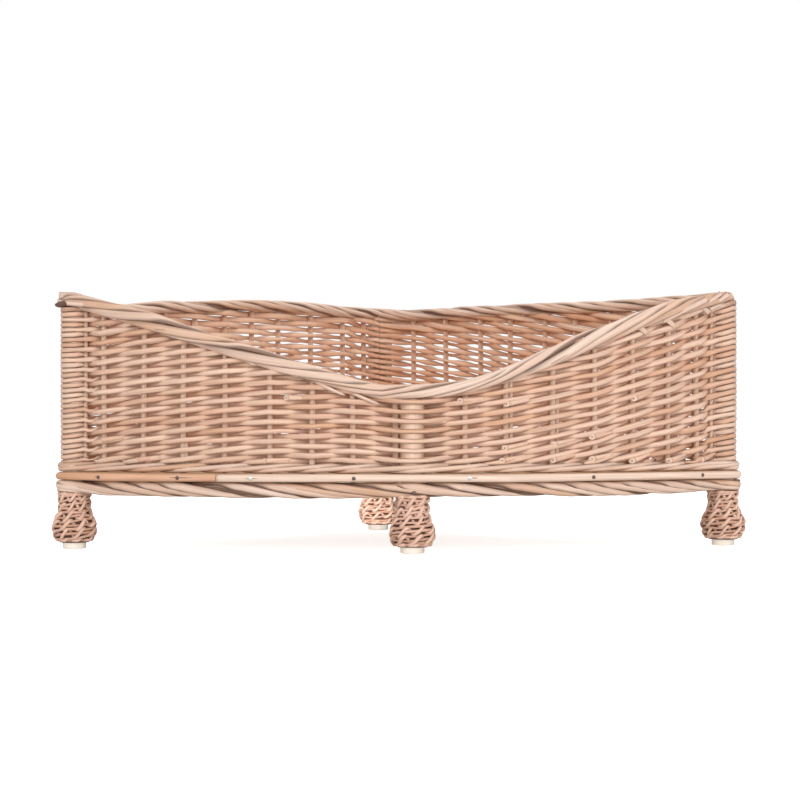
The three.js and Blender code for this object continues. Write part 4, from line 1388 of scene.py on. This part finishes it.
class BasketColours(PropertyGroup):
    """Colours of the willow and the wood"""
    siding_pale: colour("Pale Siding", "Palest rods of the front siding", 237, 204, 182)
    siding_deep: colour("Deep Siding", "Deepest rods of the front siding", 220, 176, 150)
    # The back siding is painted paler than the front's, as painted light on the inside of the back walls
    back_pale: colour("Pale Back Siding", "Palest rods of the back siding", 250, 215, 190)
    back_deep: colour("Deep Back Siding", "Deepest rods of the back siding", 236, 188, 158)
    # The front stakes are painted paler than the siding, as painted light
    stake_pale: colour("Pale Stakes", "Palest of the front stakes", 240, 212, 190)
    stake_deep: colour("Deep Stakes", "Deepest of the front stakes", 226, 190, 164)
    border_pale: colour("Pale Border", "Palest rods of the borders, rims and wale", 235, 208, 191)
    border_deep: colour("Deep Border", "Deepest rods of the borders, rims and wale", 220, 184, 161)
    foot_pale: colour("Pale Foot", "Palest rods of the feet", 246, 208, 188)
    foot_deep: colour("Deep Foot", "Deepest rods of the feet", 214, 168, 144)
    strip_pale: colour("Pale Strip", "The palest edge strip", 240, 214, 196)
    strip_tan: colour("Tan Strip", "The deepest edge strip", 228, 182, 152)
    # The peg colour is painted light from the floor below
    post: colour("Post", "The posts where strands cover them", 214, 178, 154)
    peg: colour("Peg", "The bare ends of the posts", 255, 244, 230)


# Operators
class BASKET_OT_materials(Operator):
    """Make the finishes"""
    bl_idname = "basket.materials"
    bl_label = "Make Finishes"

    def execute(self, context):
        colours = context.scene.basket_colours
        willow_material("Siding willow", colours.siding_pale, colours.siding_deep, linear(214, 162, 122))
        # The back siding is a paler copy of the front's, painted light on the inside of the back walls
        willow_material("Back willow", colours.back_pale, colours.back_deep, linear(228, 172, 130))
        # Stakes: paler than the siding and with little painted shade, as painted light where they lie deep
        # between the strands
        willow_material("Stake willow", colours.stake_pale, colours.stake_deep, linear(220, 176, 142),
                        shade_share=0.15)
        willow_material("Border willow", colours.border_pale, colours.border_deep, linear(214, 170, 138),
                        shade_colour=DARK_SHADE_COLOUR, shade_share=0.5, cut_colour=(0.86, 0.7, 0.57))
        willow_material("Foot willow", colours.foot_pale, colours.foot_deep, linear(216, 166, 136),
                        shade_colour=DARK_SHADE_COLOUR, shade_share=0.6)
        willow_material("Strip willow", colours.strip_pale, colours.strip_tan, linear(218, 166, 128),
                        shade_share=0.35)
        dowel_material(colours.peg, colours.post)
        metal_material("Dark nail", (0.17, 0.13, 0.11), 0.5)
        # A paler metal paints the glint on some nail heads
        metal_material("Bright nail", (0.8, 0.8, 0.82), 0.3)
        board_material()
        return {"FINISHED"}


class BASKET_OT_base(Operator):
    """Finish the base board, lay the edge strips and drive the nails"""
    bl_idname = "basket.base"
    bl_label = "Lay Base"

    def execute(self, context):
        for slot in bpy.data.objects["base_board"].material_slots:
            slot.material = bpy.data.materials["Plywood"]
        for seed, node in enumerate(STRIPS, 1):
            lay_strip(node, bpy.data.materials["Strip willow"], seed)
        drive_nails(bpy.data.materials["Dark nail"], bpy.data.materials["Bright nail"],
                    context.scene.basket_sizes.nail / 2)
        return {"FINISHED"}


class BASKET_OT_uprights(Operator):
    """Stand the posts, the stakes and the second stakes"""
    bl_idname = "basket.uprights"
    bl_label = "Stand Uprights"

    def execute(self, context):
        stand_posts(bpy.data.materials["Dowel wood"])
        stand_stakes(bpy.data.materials["Stake willow"], bpy.data.materials["Back willow"])
        stand_bye_stakes(bpy.data.materials["Stake willow"])
        return {"FINISHED"}


class BASKET_OT_feet(Operator):
    """Weave the four feet"""
    bl_idname = "basket.feet"
    bl_label = "Weave Feet"

    def execute(self, context):
        sizes = context.scene.basket_sizes
        for seed, side in enumerate(POST_AT):
            weave_foot(side, bpy.data.materials["Foot willow"], sizes.coil / 2, sizes.stitch / 2, seed + 40)
        return {"FINISHED"}


class BASKET_OT_siding(Operator):
    """Weave the siding strands of the three walls and lay their cut ends"""
    bl_idname = "basket.siding"
    bl_label = "Weave Siding"

    def execute(self, context):
        half_out = context.scene.basket_sizes.siding / 2
        for wall in WALLS:
            name = "Siding willow" if wall is FRONT else "Back willow"
            weave_siding(wall, bpy.data.materials[name], half_out)
        lay_cut_ends(bpy.data.materials["Siding willow"], half_out)
        return {"FINISHED"}


class BASKET_OT_wale(Operator):
    """Weave the wale above the base board"""
    bl_idname = "basket.wale"
    bl_label = "Weave Wale"

    def execute(self, context):
        for wall in WALLS:
            weave_wale(wall, bpy.data.materials["Border willow"], context.scene.basket_sizes.wale / 2)
        return {"FINISHED"}


class BASKET_OT_borders(Operator):
    """Wind the foot border and the rims, and lay the rims' ends"""
    bl_idname = "basket.borders"
    bl_label = "Wind Borders"

    def execute(self, context):
        material = bpy.data.materials["Border willow"]
        sizes = context.scene.basket_sizes
        for wall in WALLS:
            weave_foot_border(wall, material, sizes.border / 2)
            weave_rim(wall, material, (sizes.front_rim if wall is FRONT else sizes.back_rim) / 2)
        lay_rim_ends(material)
        return {"FINISHED"}


CAMERA_PLACE = (-190.7 * MM, -2301.8 * MM, 133 * MM)
CAMERA_YAW = math.atan2(0.0854, 0.9963)
CAMERA_PITCH = math.radians(90.357)
CAMERA_LENS = 99.0  # mm, on a sensor 36 mm wide
FLOOR_HALF = 40.0
FLOOR_GLOW = 0.8
WORLD_LIGHT = 0.5
# Lamps: name, place, side, watts and the names that the pieces it lights start with
LAMPS = (
    ("key lamp", (-0.9, -2.3, 1.5), 1.6, 29.5, ""),
    ("fill lamp", (1.6, -2.0, 0.8), 1.6, 18, ""),
    ("top lamp", (0.2, 0.4, 2.2), 1.6, 16, ""),
    ("peg lamp", (-0.7, -2.1, 0.05), 0.1, 15, "dowel_post_"),
    ("back foot lamp", (-0.6, -2.1, 0.05), 0.1, 74, "woven_foot_back"),
    ("back peg lamp", (-0.6, -2.1, 0.05), 0.1, 30, "dowel_post_back"),
)


class BASKET_OT_stage(Operator):
    """Set the floor, the lamps, the white surroundings and the camera"""
    bl_idname = "basket.stage"
    bl_label = "Set Stage"

    def execute(self, context):
        scene = context.scene
        camera = bpy.data.objects.new("camera", bpy.data.cameras.new("camera"))
        scene.collection.objects.link(camera)
        camera.location = CAMERA_PLACE
        camera.rotation_euler = (CAMERA_PITCH, 0, -CAMERA_YAW)
        camera.data.lens = CAMERA_LENS
        camera.data.sensor_width = 36
        camera.data.clip_end = 200
        scene.camera = camera
        scene.view_settings.view_transform = "Standard"

        floor_mesh = bpy.data.meshes.new("floor")
        corners = [(x * FLOOR_HALF, y * FLOOR_HALF, 0) for x, y in ((-1, -1), (1, -1), (1, 1), (-1, 1))]
        floor_mesh.from_pydata(corners, [], [(0, 1, 2, 3)])
        floor = bpy.data.objects.new("floor", floor_mesh)
        scene.collection.objects.link(floor)
        floor_mesh.materials.append(floor_material())

        scene.world = white_world(WORLD_LIGHT)
        for settings in LAMPS:
            lamp(*settings)
        return {"FINISHED"}


def lamp(name, place, size, watts, lit):
    """Square area lamp that points at the middle of the basket. If lit is given, it lights only the
    pieces whose names start with it."""
    light = bpy.data.lights.new(name, "AREA")
    light.size = size
    light.energy = watts
    obj = bpy.data.objects.new(name, light)
    bpy.context.scene.collection.objects.link(obj)
    obj.location = place
    aim = np.array([0, 0, 0.1]) - np.array(place)
    obj.rotation_euler = Vector(aim).to_track_quat("-Z", "Y").to_euler()
    if lit:
        receivers = bpy.data.collections.new(f"lit by {name}")
        for piece in bpy.data.objects:
            if piece.name.startswith(lit):
                receivers.objects.link(piece)
        obj.light_linking.receiver_collection = receivers


def floor_material():
    """Pale floor that glows to camera rays alone, so that it meets the white around it."""
    material, nodes, links, shader = new_material("Floor")
    shader.inputs["Base Color"].default_value = (0.9, 0.9, 0.9, 1)
    shader.inputs["Roughness"].default_value = 0.9
    shader.inputs["Specular IOR Level"].default_value = 0.0
    shader.inputs["Emission Color"].default_value = (1, 1, 1, 1)
    seen = nodes.new("ShaderNodeLightPath").outputs["Is Camera Ray"]
    glow = arithmetic(nodes, links, "MULTIPLY", seen, FLOOR_GLOW)
    links.new(glow, shader.inputs["Emission Strength"])
    return material


def white_world(strength):
    """White to camera, glossy and transmission rays, and softer light to all others."""
    world = bpy.data.worlds.new("studio")
    world.use_nodes = True
    nodes, links = world.node_tree.nodes, world.node_tree.links
    background = nodes["Background"]
    background.inputs["Color"].default_value = (1, 1, 1, 1)
    path = nodes.new("ShaderNodeLightPath")
    seen = path.outputs["Is Camera Ray"]
    for output in ("Is Glossy Ray", "Is Transmission Ray"):
        seen = arithmetic(nodes, links, "MAXIMUM", seen, path.outputs[output])
    level = nodes.new("ShaderNodeMapRange")
    level.inputs["To Min"].default_value = strength
    level.inputs["To Max"].default_value = 1.0
    links.new(seen, level.inputs["Value"])
    links.new(level.outputs["Result"], background.inputs["Strength"])
    return world


OPERATORS = (
    BASKET_OT_materials,
    BASKET_OT_base,
    BASKET_OT_uprights,
    BASKET_OT_feet,
    BASKET_OT_siding,
    BASKET_OT_wale,
    BASKET_OT_borders,
    BASKET_OT_stage,
)


class BASKET_PT_panel(Panel):
    """Sizes, colours and steps of the basket"""
    bl_idname = "BASKET_PT_panel"
    bl_label = "Corner Basket"
    bl_space_type = "VIEW_3D"
    bl_region_type = "UI"
    bl_category = "Corner Basket"

    def draw(self, context):
        scene = context.scene
        for title, group in (("Sizes", scene.basket_sizes), ("Colours", scene.basket_colours)):
            self.layout.label(text=title)
            column = self.layout.column(align=True)
            for name in type(group).__annotations__:
                column.prop(group, name)
        self.layout.label(text="Steps")
        for operator in OPERATORS:
            self.layout.operator(operator.bl_idname)


CLASSES = (BasketSizes, BasketColours, *OPERATORS, BASKET_PT_panel)


def register():
    for cls in CLASSES:
        bpy.utils.register_class(cls)
    bpy.types.Scene.basket_sizes = PointerProperty(type=BasketSizes)
    bpy.types.Scene.basket_colours = PointerProperty(type=BasketColours)


def unregister():
    del bpy.types.Scene.basket_colours
    del bpy.types.Scene.basket_sizes
    for cls in reversed(CLASSES):
        bpy.utils.unregister_class(cls)


def main():
    register()
    bpy.ops.basket.materials()
    bpy.ops.basket.base()
    bpy.ops.basket.uprights()
    bpy.ops.basket.feet()
    bpy.ops.basket.siding()
    bpy.ops.basket.wale()
    bpy.ops.basket.borders()
    bpy.ops.basket.stage()


if __name__ == "__main__":
    main()
